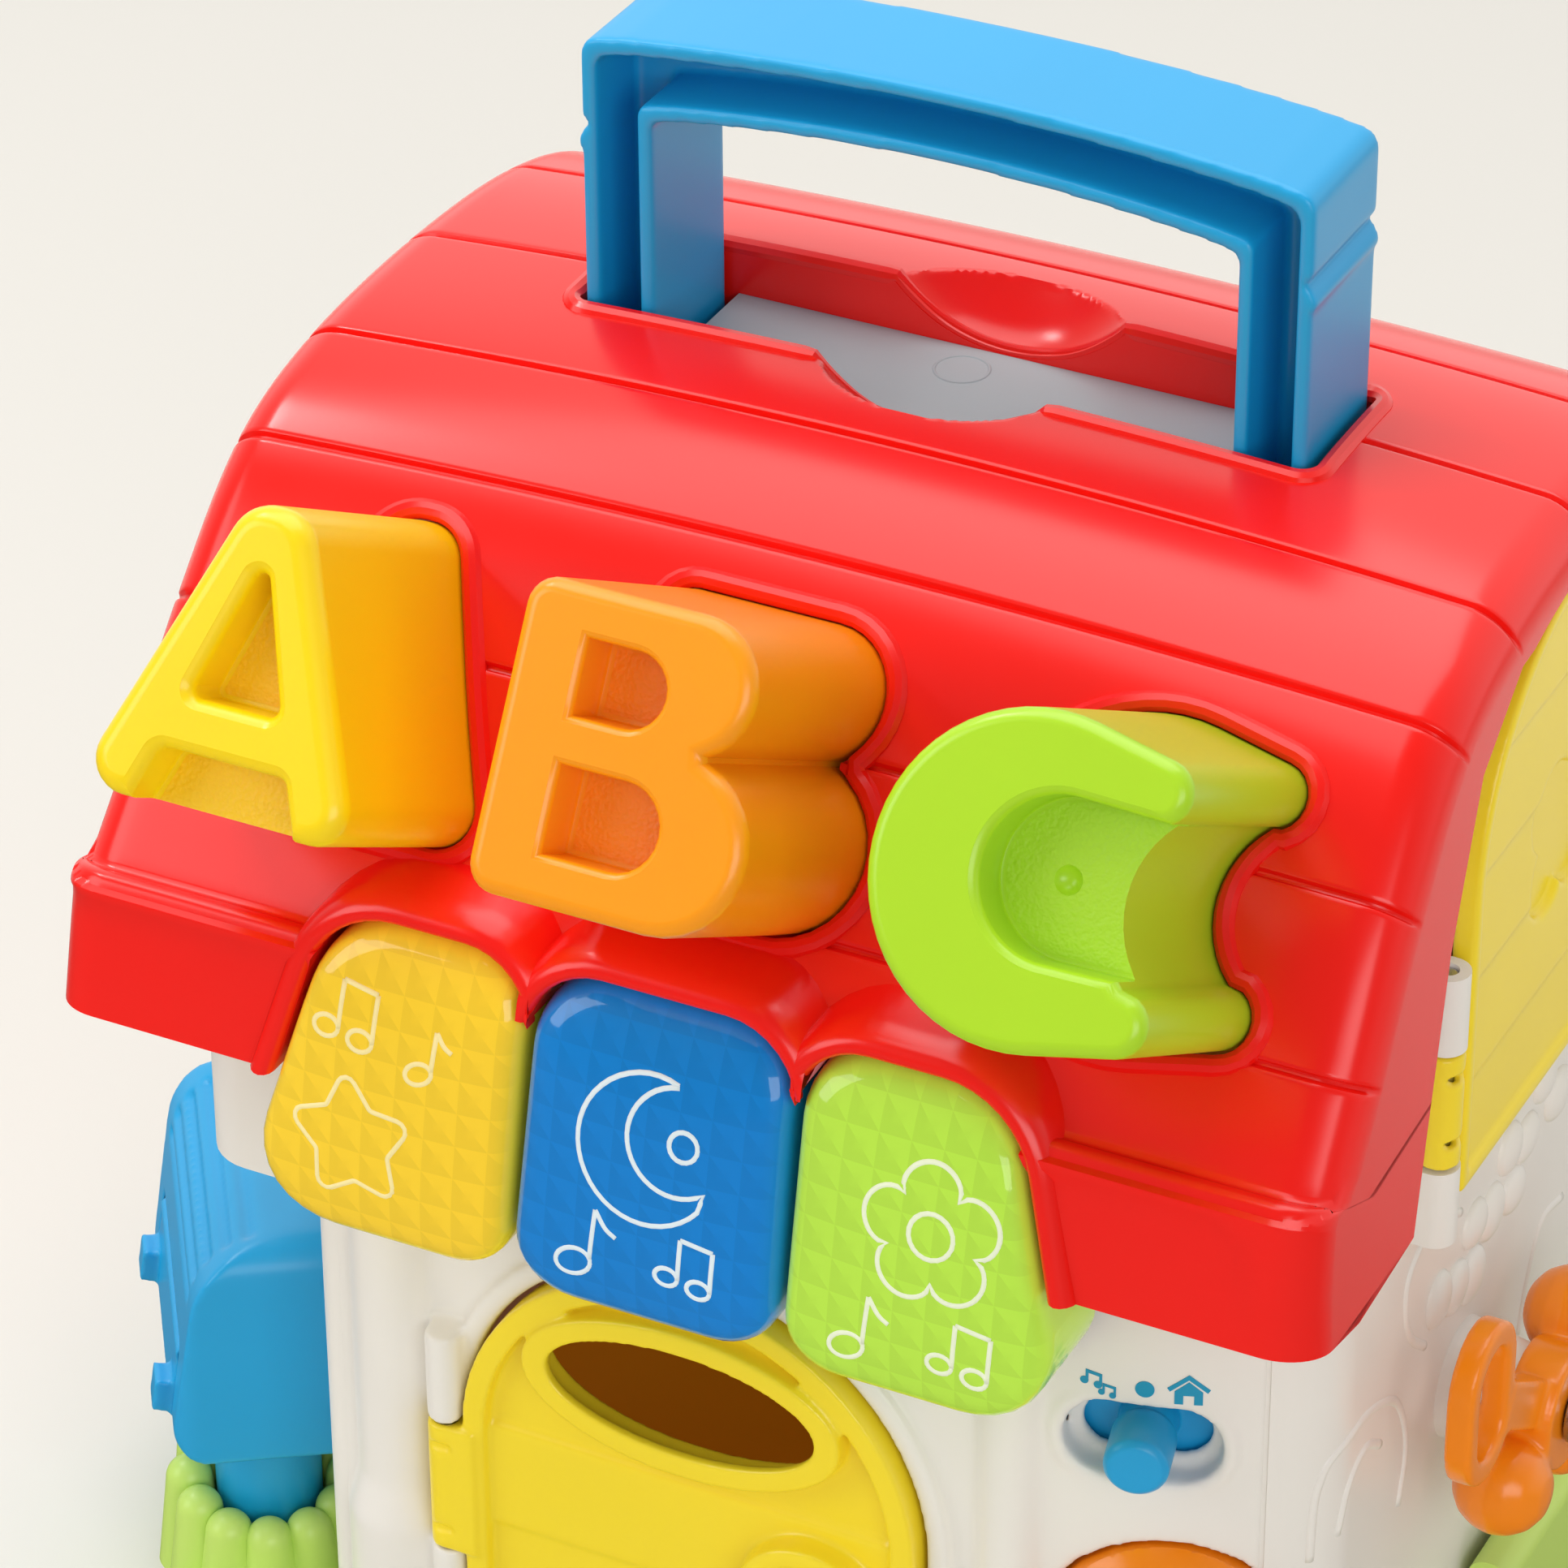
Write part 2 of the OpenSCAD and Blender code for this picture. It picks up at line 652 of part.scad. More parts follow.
module rear_shell() {
    color("white")
        difference() {
            union() {
                difference() {
                    translate([0, 0, lawn_top + 0.2])
                        linear_extrude(wall_top - lawn_top)
                            polygon(concat(shell_plan(0), [for (i = [len(shell_plan(wall)) - 1:-1:0])
                                shell_plan(wall)[i]]));
                    at_corner(bell_a, bell_z)
                        translate([0, 12, 0])
                            rotate([90, 0, 0])
                                cylinder(r = 19, h = 24);
                }
                gable_plate(right_x - wall, 66, 230);
                gable_plate(left_x, 66, 160);
                gable_block(151.6, 165);
                gable_block(117, 130.4);
                for (k = [0:6])
                    translate([right_x - 0.4, -34 + 7 * k, 98 + 2.6 * k - 5 * (k % 2)])
                        rotate([0, 90, 0])
                            cylinder(r1 = 4, r2 = 2.8, h = 1.5);
                translate([right_x - 0.5, spin_y, spin_z])
                    rotate([0, 90, 0])
                        cylinder(r1 = 10, r2 = 8, h = spin_x - right_x + 0.2);
                translate([0, 0, bay_low])
                    linear_extrude(wall_top - bay_low) polygon(bay_plan(0));
                for (x = [-50, 80], y = [-60, 70]) {
                    translate([x, y, lawn_top + 0.2]) cylinder(r = 4, h = 7.6);
                    translate([x < 0 ? left_x + 1 : x, y - 1, lawn_top + 0.2])
                        cube([x < 0 ? 19 : 14.5, 2, 7.6]);
                }
                translate([20, back_y - wall + 0.2, 95])
                    rotate([90, 0, 0])
                        difference() {
                            cylinder(r = 30, h = 6);
                            translate([0, 0, -1]) cylinder(r = 27.4, h = 8);
                        }
                translate([-40, back_y - 0.6, 60]) cube([36, 2, 50]);
            }
            translate([right_x - 10, 0, 0])
                rotate([90, 0, 90])
                    linear_extrude(20) polygon(arch_shape(0, gable_half - 4.5, 128, gable_spring));
            translate([gable_hinge[0], gable_hinge[1], 110]) cylinder(r = 1.65, h = 60);
            translate([gable_hinge[0], gable_hinge[1], 130.4]) cylinder(r = 3.8, h = 21.2);
            translate([left_x - 1, front_y + 10, bay_low + wall]) cube([wall + 2, 46, 100]);
            for (r = [8, 16, 23])
                for (k = [0:r / 2 - 1])
                    translate([20 + r * cos(k * 720 / r), back_y + 5, 95 + r * sin(k * 720 / r)])
                        rotate([90, 0, 0])
                            cylinder(r = 1.3, h = 10, $fn = 24);
            translate([right_x - 2.9, spin_y, spin_z]) rotate([0, 90, 0]) cylinder(r = 3.15, h = 22);
            for (x = [-50, 80], y = [-60, 70])
                translate([x, y, 0]) cylinder(r = 1.25, h = 22);
            translate([0, 0, bay_low + wall])
                linear_extrude(wall_top) polygon(bay_plan(wall));
            translate([-37, back_y + 0.4, 63]) cube([14, 3, 20]);
            translate([-21, back_y + 0.4, 63]) cube([14, 3, 20]);
            translate([-37, back_y + 0.4, 87]) cube([14, 3, 20]);
            translate([-21, back_y + 0.4, 87]) cube([14, 3, 20]);
        }
}

// base

lawn = round_poly([[-104, -103], [103, -103], [103, 99], [-104, 99]], [26, 26, 22, 22], 10);

module tuft(x, y, r, top) {
    translate([x, y, 5]) cylinder(r1 = r * 1.5, r2 = r, h = top - r - 5);
    translate([x, y, top - r]) sphere(r);
}

module lawn_base() {
    color("limegreen")
        difference() {
            union() {
                difference() {
                    linear_extrude(lawn_top) polygon(lawn);
                    translate([0, 0, -1])
                        linear_extrude(lawn_top - 2)
                            polygon([for (p = lawn) p * 0.975]);
                }
                for (k = [0:11])
                    tuft(post_x[0] + 13.2 * cos(30 * k), post_x[1] + 13.2 * sin(30 * k), 3.9,
                        25 + 3 * cos(30 * k - 130));
                along_y(round_poly([[97, 4], [106, 4], [105.4, 37], [98, 37]], [1, 1, 3.4, 3.4]), -18, 72);
            }
            translate([-32, 14.4, -1]) cube([64, 65.2, 30]);
            for (x = [-50, 80], y = [-60, 70])
                translate([x, y, -1]) cylinder(r = 1.8, h = 20);
            translate([post_x[0], post_x[1], lawn_top]) cylinder(r = 9.1, h = 60);
        }
}

module bottom_plate() {
    color("gainsboro")
        difference() {
            linear_extrude(2.4) polygon([for (p = lawn) p * 0.97]);
            translate([-28.4, 17.6, -1]) cube([56.8, 58.8, 5]);
            for (x = [-50, 80], y = [-60, 70])
                translate([x, y, -1]) {
                    cylinder(r = 1.8, h = 5);
                    cylinder(r = 3.6, h = 2.2);
                }
        }
}

module base_screws() {
    color("gray")
        for (x = [-50, 80], y = [-60, 70])
            translate([x, y, 0]) {
                translate([0, 0, 0.2]) cylinder(r = 3, h = 1);
                translate([0, 0, 1]) cylinder(r = 1.2, h = 15);
            }
}

module inner_floor() {
    color("white")
        translate([0, 0, 26.5])
            rotate([7, 0, 0])
                linear_extrude(2)
                    polygon(round_poly([[left_x + wall + 0.4, -78], [right_x - wall - 0.4, -78],
                        [right_x - wall - 0.4, 84], [left_x + wall + 0.4, 84]], [4, 24, 22, 22]));
}

// front door and its turn latch

function ellipse_shape(x, z, a, b) =
    [for (k = [0:47]) [x + a * cos(k * 7.5), z + b * sin(k * 7.5)]];

module front_door() {
    low = lawn_top + 1.6;
    color("gold")
        difference() {
            union() {
                along_y(arch_shape(door_x, door_half, low, door_spring), front_y - 2.4, front_y + 1.6);
                difference() {
                    along_y(arch_shape(door_x, door_half, low, door_spring), front_y - 5, front_y);
                    along_y(arch_shape(door_x, door_half - 4, low + 4, door_spring),
                        front_y - 6, front_y + 1);
                }
                along_y(ellipse_shape(door_x, 86.6, 27.4, 13.6), front_y - 6.4, front_y);
                intersection() {
                    along_y(arch_shape(door_x, door_half - 3.9, low, door_spring),
                        front_y - 8, front_y + 1);
                    union() {
                        translate([-60, front_y - 3.4, 50.6]) cube([120, 3, 19]);
                        translate([-60, front_y - 2.9, 31.4]) cube([120, 2, 19.2]);
                        translate([-60, front_y - 3.4, 12]) cube([120, 3, 19.4]);
                    }
                }
                translate([latch_x, front_y - 1, latch_z])
                    rotate([90, 0, 0])
                        cylinder(r = 12.6, h = 7);
                translate([hinge_x, hinge_y, hinge_low + 0.3])
                    cylinder(r = 3.1, h = hinge_high - hinge_low - 0.6);
                translate([hinge_x, hinge_y - 2.9, hinge_low + 0.3])
                    cube([6, 3.1, hinge_high - hinge_low - 0.6]);
            }
            along_y(ellipse_shape(door_x, 86.6, 23, 9.5), front_y - 12, front_y + 6);
            translate([latch_x, front_y - 3.4, latch_z])
                rotate([90, 0, 0])
                    cylinder(r = 9, h = 8);
            translate([latch_x, front_y + 4, latch_z])
                rotate([90, 0, 0])
                    cylinder(r = 3.6, h = 12);
            translate([hinge_x, hinge_y, 30]) cylinder(r = 1.65, h = 50);
            for (z = [hinge_low + 3.4, hinge_high - 5.2])
                translate([hinge_x - 2.6, hinge_y - 4, z]) cube([4.6, 2, 1.6]);
        }
}

module door_latch() {
    color("gold")
        translate([latch_x, 0, latch_z]) {
            translate([0, front_y - 3.8, 0]) rotate([90, 0, 0]) cylinder(r = 8.4, h = 2);
            translate([-2.2, front_y - 9.8, -7]) cube([4.4, 5, 14]);
            translate([0, front_y + 4.6, 0]) rotate([90, 0, 0]) cylinder(r = 3.2, h = 9);
            translate([-3.6, front_y + 3.2, -3.6]) cube([7.2, 2, 25.6]);
        }
}

module door_pin() {
    color("silver")
        translate([hinge_x, hinge_y, 27]) cylinder(r = 1.6, h = 56.6);
}

// gable door

module gable_door() {
    x0 = right_x + 0.7;
    color("gold")
        difference() {
            union() {
                translate([x0, 0, 0])
                    rotate([90, 0, 90])
                        linear_extrude(2.6) polygon(arch_shape(0, gable_half, 122, gable_spring));
                difference() {
                    translate([x0, 0, 0])
                        rotate([90, 0, 90])
                            linear_extrude(4)
                                polygon(arch_shape(0, gable_half, 122, gable_spring));
                    translate([x0 - 1, 0, 0])
                        rotate([90, 0, 90])
                            linear_extrude(9)
                                polygon(arch_shape(0, gable_half - 2.6, 124.6, gable_spring));
                }
                intersection() {
                    translate([x0, 0, 0])
                        rotate([90, 0, 90])
                            linear_extrude(4) polygon(arch_shape(0, gable_half - 2.5, 122, gable_spring));
                    union() {
                        for (k = [0:4])
                            translate([x0, -50, 122 + 18 * k])
                                rotate([0, -2.2, 0])
                                    cube([3.2, 100, 17.6]);
                    }
                }
                translate([gable_hinge[0], gable_hinge[1], 131]) cylinder(r = 3.3, h = 20);
                translate([gable_hinge[0] - 1.7, gable_hinge[1], 131]) cube([1.8, 7, 20]);
            }
            // four-leaved flower sunk into the planks
            translate([x0 + 1.2, 0, 0])
                rotate([90, 0, 90])
                    linear_extrude(9) {
                        for (k = [0:3])
                            translate([8 * cos(45 + 90 * k), 166 + 8 * sin(45 + 90 * k)]) circle(7.4);
                        translate([-8, 158]) square([16, 16]);
                    }
            translate([gable_hinge[0], gable_hinge[1], 120]) cylinder(r = 1.65, h = 40);
            for (z = [134.5, 146])
                translate([gable_hinge[0] + 1.4, gable_hinge[1] - 3, z]) cube([4, 5, 1.5]);
        }
}

module gable_pin() {
    color("silver")
        translate([gable_hinge[0], gable_hinge[1], 117.5]) cylinder(r = 1.6, h = 47);
}

// three-position switch and bell button on the curved corner

module switch_slider() {
    color("dodgerblue")
        at_corner(switch_a, 99) {
            translate([0, 9.3, 0])
                rotate([90, 0, 0])
                    stadium(16, 6.4, 1.8);
            translate([0, 8, 0])
                rotate([90, 0, 0])
                    cylinder(r = 4.5, h = 6);
            translate([0, 2.6, 0])
                rotate([90, 0, 0])
                    cylinder(r = 5, h = 8);
            translate([0, -5.4, 0])
                rotate([90, 0, 0])
                    cylinder(r1 = 5, r2 = 4.1, h = 1);
        }
}

module switch_unit() {
    color("dimgray")
        at_corner(switch_a, 99)
            translate([-13, 10, -6])
                cube([26, 6, 12]);
}

module bell_button() {
    color("orange")
        at_corner(bell_a, bell_z) {
            intersection() {
                translate([0, 12.5, 0]) sphere(22, $fn = 96);
                translate([0, 4.4, 0]) rotate([90, 0, 0]) cylinder(r = 18.2, h = 30);
            }
            for (s = [-1, 1]) translate([-7, 3.4, s * 18.5 - 3.5]) cube([14, 2, 7]);
        }
}

module bell_contact() {
    color("dimgray")
        at_corner(bell_a, bell_z) {
                translate([-6, 9.6, -27]) cube([12, 3, 54]);
                for (s = [-1, 1]) translate([-4, 3.3, s * 24.5 - 2.5]) cube([8, 7, 5]);
            }
}

// mailbox on its post, turned towards the right: local -Y is its front

module at_box() {
    translate(box_pos)
        rotate([0, 0, box_turn])
            children();
}

function box_shape(g) =
    round_poly([[-20.5 + 1.1 * g, g], [15 - g, g], [15 - g, 41.5 - g], [-14 + 0.9 * g, 41.5 - g]],
        [6 - g, 3 - g / 2, 5 - g, 14 - g], 8);

// frame of the leaning left side: x into the box, z up along the side
module at_side() {
    translate([-20.5, 0, 0])
        rotate([0, atan2(6.5, 41.5), 0])
            children();
}

module mailbox() {
    color("dodgerblue")
        at_box()
            difference() {
                intersection() {
                    along_y(box_shape(0), 0, box_len);
                    linear_extrude(60)
                        polygon(round_poly([[-21, 0], [15, 0], [15, box_len], [-21, box_len]], [6, 4, 4, 6]));
                    translate([-40, 0, 0])
                        rotate([90, 0, 90])
                            linear_extrude(80)
                                polygon(round_poly([[0, -5], [box_len, -5], [box_len, 41.5], [0, 41.5]],
                                    [1, 1, 5, 6]));
                }
                along_y(box_shape(3.2), 3.6, box_len - 3.6);
                for (k = [0:4])
                    let (a = 104 + 16.5 * k)
                        translate([14 * cos(a) - 2, 6, 27.5 + 14 * sin(a)])
                            rotate([-90, 0, 0])
                                cylinder(r = 1, h = box_len - 12);
                at_side() {
                    translate([-1, 8, 4]) cube([2.9, 44, 15]);
                    translate([-1, 11, 6.5]) cube([9, 38, 9.5]);
                    translate([1.2, 5, 17]) rotate([-90, 0, 0]) cylinder(r = 0.85, h = 50);
                    translate([1.2, 8, 17]) rotate([-90, 0, 0]) cylinder(r = 2, h = 44);
                }
            }
}

module mailbox_flap() {
    color("dodgerblue")
        at_box()
            at_side()
                difference() {
                    union() {
                        translate([0, 8.4, 4.5]) cube([1.6, 43.2, 12.5]);
                        translate([1.2, 8.4, 17]) rotate([-90, 0, 0]) cylinder(r = 1.6, h = 43.2);
                        for (y = [9, 45]) translate([-3, y, 5]) cube([3.4, 6, 6]);
                    }
                    translate([1.2, 0, 17]) rotate([-90, 0, 0]) cylinder(r = 0.85, h = 70);
                }
}

module mailbox_pin() {
    color("silver")
        at_box()
            at_side()
                translate([1.2, 5.4, 17]) rotate([-90, 0, 0]) cylinder(r = 0.8, h = 49.2);
}

module mailbox_post() {
    color("dodgerblue")
        at_box()
            translate([post_side, post_y, lawn_top + 0.2 - box_pos[2]])
                cylinder(r = 8.8, h = box_pos[2] - lawn_top - 0.4);
}

// spinner on a boss of the right wall

// one rounded lobe, turned from a short profile
module spinner_lobe() {
    rotate_extrude()
        polygon([
            [0, -7.8], [3.4, -7.2], [6, -5.3], [7.5, -2.7], [8, 0],
            [7.5, 2.7], [6, 5.3], [3.4, 7.2], [0, 7.8],
        ]);
}

module spinner() {
    loop = [-29.6, 20.3];
    color("darkorange")
        translate([spin_x, spin_y, spin_z])
            rotate([90, 0, 90])
                difference() {
                    union() {
                        cylinder(r = 10, h = 8);
                        for (a = [207, 27, 310]) {
                            translate([15.5 * cos(a), 15.5 * sin(a), 2.4]) spinner_lobe();
                            rotate([0, 0, a]) translate([2, -4.5, 0]) cube([12, 9, 6]);
                        }
                        rotate([0, 0, 146]) translate([2, -4, 1]) cube([25, 8, 5]);
                        translate([loop[0], loop[1], 1.4])
                            rotate([0, 0, 90])
                                stadium(9, 9.2, 4.4);
                    }
                    translate([0, 0, -1]) cylinder(r = 3.15, h = 12);
                    translate([loop[0], loop[1], -1]) rotate([0, 0, 90]) stadium(8.4, 5.5, 12);
                }
}

module spinner_axle() {
    color("silver")
        translate([right_x - 5, spin_y, spin_z])
            rotate([0, 90, 0]) {
                cylinder(r = 5, h = 2);
                cylinder(r = 3.1, h = spin_x - right_x + 13.6);
                translate([0, 0, spin_x - right_x + 13.4]) cylinder(r = 5.2, h = 2);
            }
}

// speaker and batteries

module speaker() {
    color("dimgray")
        translate([20, back_y - wall - 0.4, 95])
            rotate([90, 0, 0])
                difference() {
                    union() {
                        cylinder(r = 27, h = 3);
                        translate([0, 0, 2]) cylinder(r1 = 25, r2 = 15, h = 9);
                        translate([0, 0, 10]) cylinder(r = 14, h = 7);
                    }
                    translate([0, 0, -1]) cylinder(r1 = 25, r2 = 13, h = 9);
                }
}

module speaker_cone() {
    color("black")
        translate([20, back_y - wall - 0.6, 95])
            rotate([90, 0, 0]) {
                difference() {
                    cylinder(r1 = 23.4, r2 = 12.2, h = 6.6);
                    translate([0, 0, -0.8]) cylinder(r1 = 23.6, r2 = 12, h = 6.6);
                }
                translate([0, 0, 4.6]) sphere(3.2);
            }
}

module battery_box() {
    color("gainsboro")
        difference() {
            union() {
                difference() {
                    translate([-31.4, 15, 2.6]) cube([62.8, 64, 21]);
                    translate([-29, 17.4, 0]) cube([58, 59.2, 21.4]);
                }
                for (x = [-12, 14]) translate([x, 17, 11.4]) cube([2, 60, 11]);
            }
            for (k = [0:2])
                translate([-28, 28 + 19 * k, 11.4])
                    rotate([0, 90, 0])
                        cylinder(r = 7.45, h = 56);
        }
}

module battery_cells() {
    color("darkslategray")
        for (k = [0:2])
            translate([-23, 28 + 19 * k, 11.4])
                rotate([0, 90, 0]) {
                    cylinder(r = 7.2, h = 49.4);
                    cylinder(r = 2.7, h = 50.8);
                }
}

module battery_contacts() {
    color("silver")
        for (k = [0:2]) {
            translate([28.1, 28 + 19 * k - 4, 7]) cube([0.6, 8, 8]);
            translate([-28.7, 28 + 19 * k, 11.4]) rotate([0, 90, 0]) cylinder(r1 = 5, r2 = 2.6, h = 5.4);
        }
}

module battery_door() {
    color("gainsboro")
        difference() {
            translate([-28, 18, 0]) cube([56, 58, 2.4]);
            translate([0, 20.6, -1]) cylinder(r = 1.5, h = 5);
            translate([0, 20.6, -1]) cylinder(r = 2.4, h = 1.8);
        }
}

module battery_screw() {
    color("gray")
        translate([0, 20.6, 0]) {
            translate([0, 0, 0.1]) cylinder(r = 2.1, h = 0.6);
            translate([0, 0, 0.5]) cylinder(r = 1.2, h = 3.2);
        }
}

roof_shell();
handle();
handle_tray();
letter_a();
letter_b();
letter_c();
key_left();
key_middle();
key_right();
key_pad();
circuit_board();
key_lamps();
front_wall();
rear_shell();
lawn_base();
bottom_plate();
front_door();
door_latch();
door_pin();
gable_door();
gable_pin();
switch_slider();
switch_unit();
bell_button();
bell_contact();
mailbox();
mailbox_flap();
mailbox_pin();
mailbox_post();
spinner();
spinner_axle();
speaker();
speaker_cone();
battery_box();
battery_cells();
battery_contacts();
battery_door();
battery_screw();
tray_screws();
base_screws();
inner_floor();
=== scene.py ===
# %% [markdown]
# # A shape sorter house
# A toy house for a small child, moulded in bright glossy plastic: a red plank roof with three letter
# blocks in it, a pull-up handle, three light-up keys, two doors, a mailbox and a spinner.
# The frame brings the measured solids with their joints. This script gives them the rounded edges,
# the fine relief and the finishes of the real toy. Sizes of the toy are in millimetres, measured from
# the floor under the middle of the ridge, with the front of the house towards -Y. Sizes of the studio
# round it are in metres.

import json
from math import acos, atan2, cos, degrees, pi, radians, sin, sqrt, tan

import bmesh
import bpy
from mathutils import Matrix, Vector

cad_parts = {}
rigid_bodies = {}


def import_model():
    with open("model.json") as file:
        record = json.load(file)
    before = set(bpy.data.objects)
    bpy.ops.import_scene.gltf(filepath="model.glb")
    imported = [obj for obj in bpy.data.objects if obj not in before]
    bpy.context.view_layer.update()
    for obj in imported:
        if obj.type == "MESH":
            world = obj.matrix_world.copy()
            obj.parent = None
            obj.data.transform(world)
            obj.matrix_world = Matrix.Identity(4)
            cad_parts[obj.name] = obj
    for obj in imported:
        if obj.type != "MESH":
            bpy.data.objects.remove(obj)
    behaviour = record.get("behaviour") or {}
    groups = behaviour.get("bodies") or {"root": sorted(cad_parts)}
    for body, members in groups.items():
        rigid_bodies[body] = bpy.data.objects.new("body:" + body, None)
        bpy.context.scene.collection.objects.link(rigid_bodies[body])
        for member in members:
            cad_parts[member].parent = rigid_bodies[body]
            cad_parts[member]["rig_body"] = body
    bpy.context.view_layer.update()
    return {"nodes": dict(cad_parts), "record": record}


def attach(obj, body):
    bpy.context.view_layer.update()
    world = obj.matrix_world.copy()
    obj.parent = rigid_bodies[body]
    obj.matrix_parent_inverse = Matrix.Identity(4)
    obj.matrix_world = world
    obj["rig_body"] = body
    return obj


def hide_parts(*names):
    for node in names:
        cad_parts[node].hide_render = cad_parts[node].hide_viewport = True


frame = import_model()
MM = 0.001

# %% [markdown]
# ## Finishes
# Nearly everything is injection-moulded ABS: coloured through, smooth, with a gloss that is a little
# broken by handling. Colours are written the way a paint chart gives them and turned into the linear
# values the shader works in. A faint cloudiness of tone and a roughness that wanders by a hundredth
# keep the surface from looking like flat paint. Faces from a sand-blasted mould also get a fine grain.


# %% colour and shader helpers
def linear(hex_colour):
    """sRGB hex to the linear colour a shader socket takes."""
    parts = [int(hex_colour[i : i + 2], 16) / 255 for i in (1, 3, 5)]
    return [p / 12.92 if p <= 0.04045 else ((p + 0.055) / 1.055) ** 2.4 for p in parts] + [1.0]


def shade(hex_colour, factor):
    """The same hue, lighter or darker."""
    return [min(1.0, c * factor) for c in linear(hex_colour)[:3]] + [1.0]


def put(tree, kind, settings=(), sockets=()):
    """Add a node with its settings, set or link its inputs, and hand back its first output."""
    node = tree.nodes.new(kind)
    for name, value in dict(settings).items():
        setattr(node, name, value)
    for name, value in dict(sockets).items():
        if isinstance(value, bpy.types.NodeSocket):
            tree.links.new(value, node.inputs[name])
        else:
            node.inputs[name].default_value = value
    return node.outputs[0]


# %% moulded plastic
CLOUD, WEAR = 0.02, 0.01
CLOUD_SIZE, WEAR_SIZE, GRIT_SIZE = 40.0, 6.25, 0.8


def plastic(name, colour, rough, grain=0.0, glow=0.0):
    """Moulded ABS of a colour and roughness. Grain is for blasted faces, glow for light inside it."""
    finish = bpy.data.materials.new(name)
    finish.use_nodes = True
    tree = finish.node_tree
    shader = tree.nodes["Principled BSDF"]
    shader.inputs["IOR"].default_value = 1.53
    shader.inputs["Subsurface Weight"].default_value = glow
    shader.inputs["Subsurface Radius"].default_value = (0.004, 0.003, 0.002)
    where = put(tree, "ShaderNodeTexCoord").node.outputs["Object"]
    cloudy = {"Vector": where, "Scale": 1000 / CLOUD_SIZE, "Detail": 1.0}
    tone = put(tree, "ShaderNodeTexNoise", sockets=cloudy)
    part = put(tree, "ShaderNodeMapRange", sockets={"Value": tone, "From Min": 0.3, "From Max": 0.7})
    tones = {0: part, 6: shade(colour, 1 - CLOUD), 7: shade(colour, 1 + CLOUD)}
    mix = put(tree, "ShaderNodeMix", {"data_type": "RGBA"}, tones).node.outputs[2]
    tree.links.new(mix, shader.inputs["Base Color"])
    worn = {"Vector": where, "Scale": 1000 / WEAR_SIZE, "Detail": 2.0}
    wear = put(tree, "ShaderNodeTexNoise", sockets=worn)
    span = {"Value": wear, "To Min": rough - WEAR, "To Max": rough + WEAR}
    tree.links.new(put(tree, "ShaderNodeMapRange", sockets=span), shader.inputs["Roughness"])
    if grain:
        gritty = {"Vector": where, "Scale": 1000 / GRIT_SIZE, "Detail": 1.0}
        fine = put(tree, "ShaderNodeTexNoise", sockets=gritty)
        bump = put(tree, "ShaderNodeBump", sockets={"Strength": grain, "Distance": MM, "Height": fine})
        tree.links.new(bump, shader.inputs["Normal"])
    return finish


# %% the colours of the toy
FINISH = {
    "red_plastic": plastic("red_abs", "#F2180F", 0.22),
    "blue_plastic": plastic("blue_abs", "#16A2DC", 0.36),
    "grey_plastic": plastic("grey_abs", "#B2B6B8", 0.42),
    "yellow_block": plastic("yellow_block_abs", "#FBD80A", 0.28, glow=0.3),
    "orange_block": plastic("orange_block_abs", "#FB9C0E", 0.28, glow=0.3),
    "green_block": plastic("green_block_abs", "#AEDA26", 0.28, glow=0.2),
    "white_plastic": plastic("white_abs", "#EDE9E2", 0.34),
    "yellow_door": plastic("door_yellow_abs", "#FADF2C", 0.28),
    "orange_plastic": plastic("orange_abs", "#FA8A12", 0.24),
    "lawn_plastic": plastic("lawn_green_abs", "#C6E56E", 0.36),
    "white_rubber": plastic("white_rubber", "#DAD7D0", 0.7),
    "board": plastic("board_laminate", "#2E6B3C", 0.5),
    "lamp_plastic": plastic("lamp_epoxy", "#F1F0EA", 0.15),
    "black_plastic": plastic("black_abs", "#2B2C2E", 0.4),
    "cone_paper": plastic("cone_paper", "#1E1D1C", 0.85),
    "cell_wrap": plastic("cell_wrap", "#3A5A6E", 0.3),
}
print("plastics:", len(FINISH))


# %% bright steel
def steel_finish():
    """Drawn steel pin stock: bright, with a gloss that changes in spots of about 1.4 mm."""
    finish = bpy.data.materials.new("bright_steel")
    finish.use_nodes = True
    tree = finish.node_tree
    shader = tree.nodes["Principled BSDF"]
    shader.inputs["Base Color"].default_value = linear("#B9BCC0")
    shader.inputs["Metallic"].default_value = 1.0
    where = put(tree, "ShaderNodeTexCoord").node.outputs["Object"]
    spots = put(tree, "ShaderNodeTexNoise", sockets={"Vector": where, "Scale": 700.0})
    span = {"Value": spots, "To Min": 0.22, "To Max": 0.36}
    tree.links.new(put(tree, "ShaderNodeMapRange", sockets=span), shader.inputs["Roughness"])
    return finish


FINISH["steel"] = steel_finish()

# %% [markdown]
# ## Showing a piece
# Each shown piece stands in for one solid of the frame and rides on the same moving body. It carries
# the finish of that solid unless another is given. Smooth shading breaks only at real corners.

# %% hand a mesh over
SLOT_OF = {entry["node"]: entry["material_slot"] for entry in frame["record"]["subparts"]}


def show(name, work, node, finish=None, corner=32):
    """Turn worked geometry into a shown piece that replaces a solid of the frame."""
    mesh = bpy.data.meshes.new(name)
    work.to_mesh(mesh)
    work.free()
    mesh.materials.clear()
    mesh.materials.append(finish or FINISH[SLOT_OF[node]])
    mesh.shade_smooth()
    mesh.set_sharp_from_angle(angle=radians(corner))
    shown = bpy.data.objects.new(name, mesh)
    bpy.context.scene.collection.objects.link(shown)
    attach(shown, frame["nodes"][node]["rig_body"])
    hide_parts(node)
    return shown


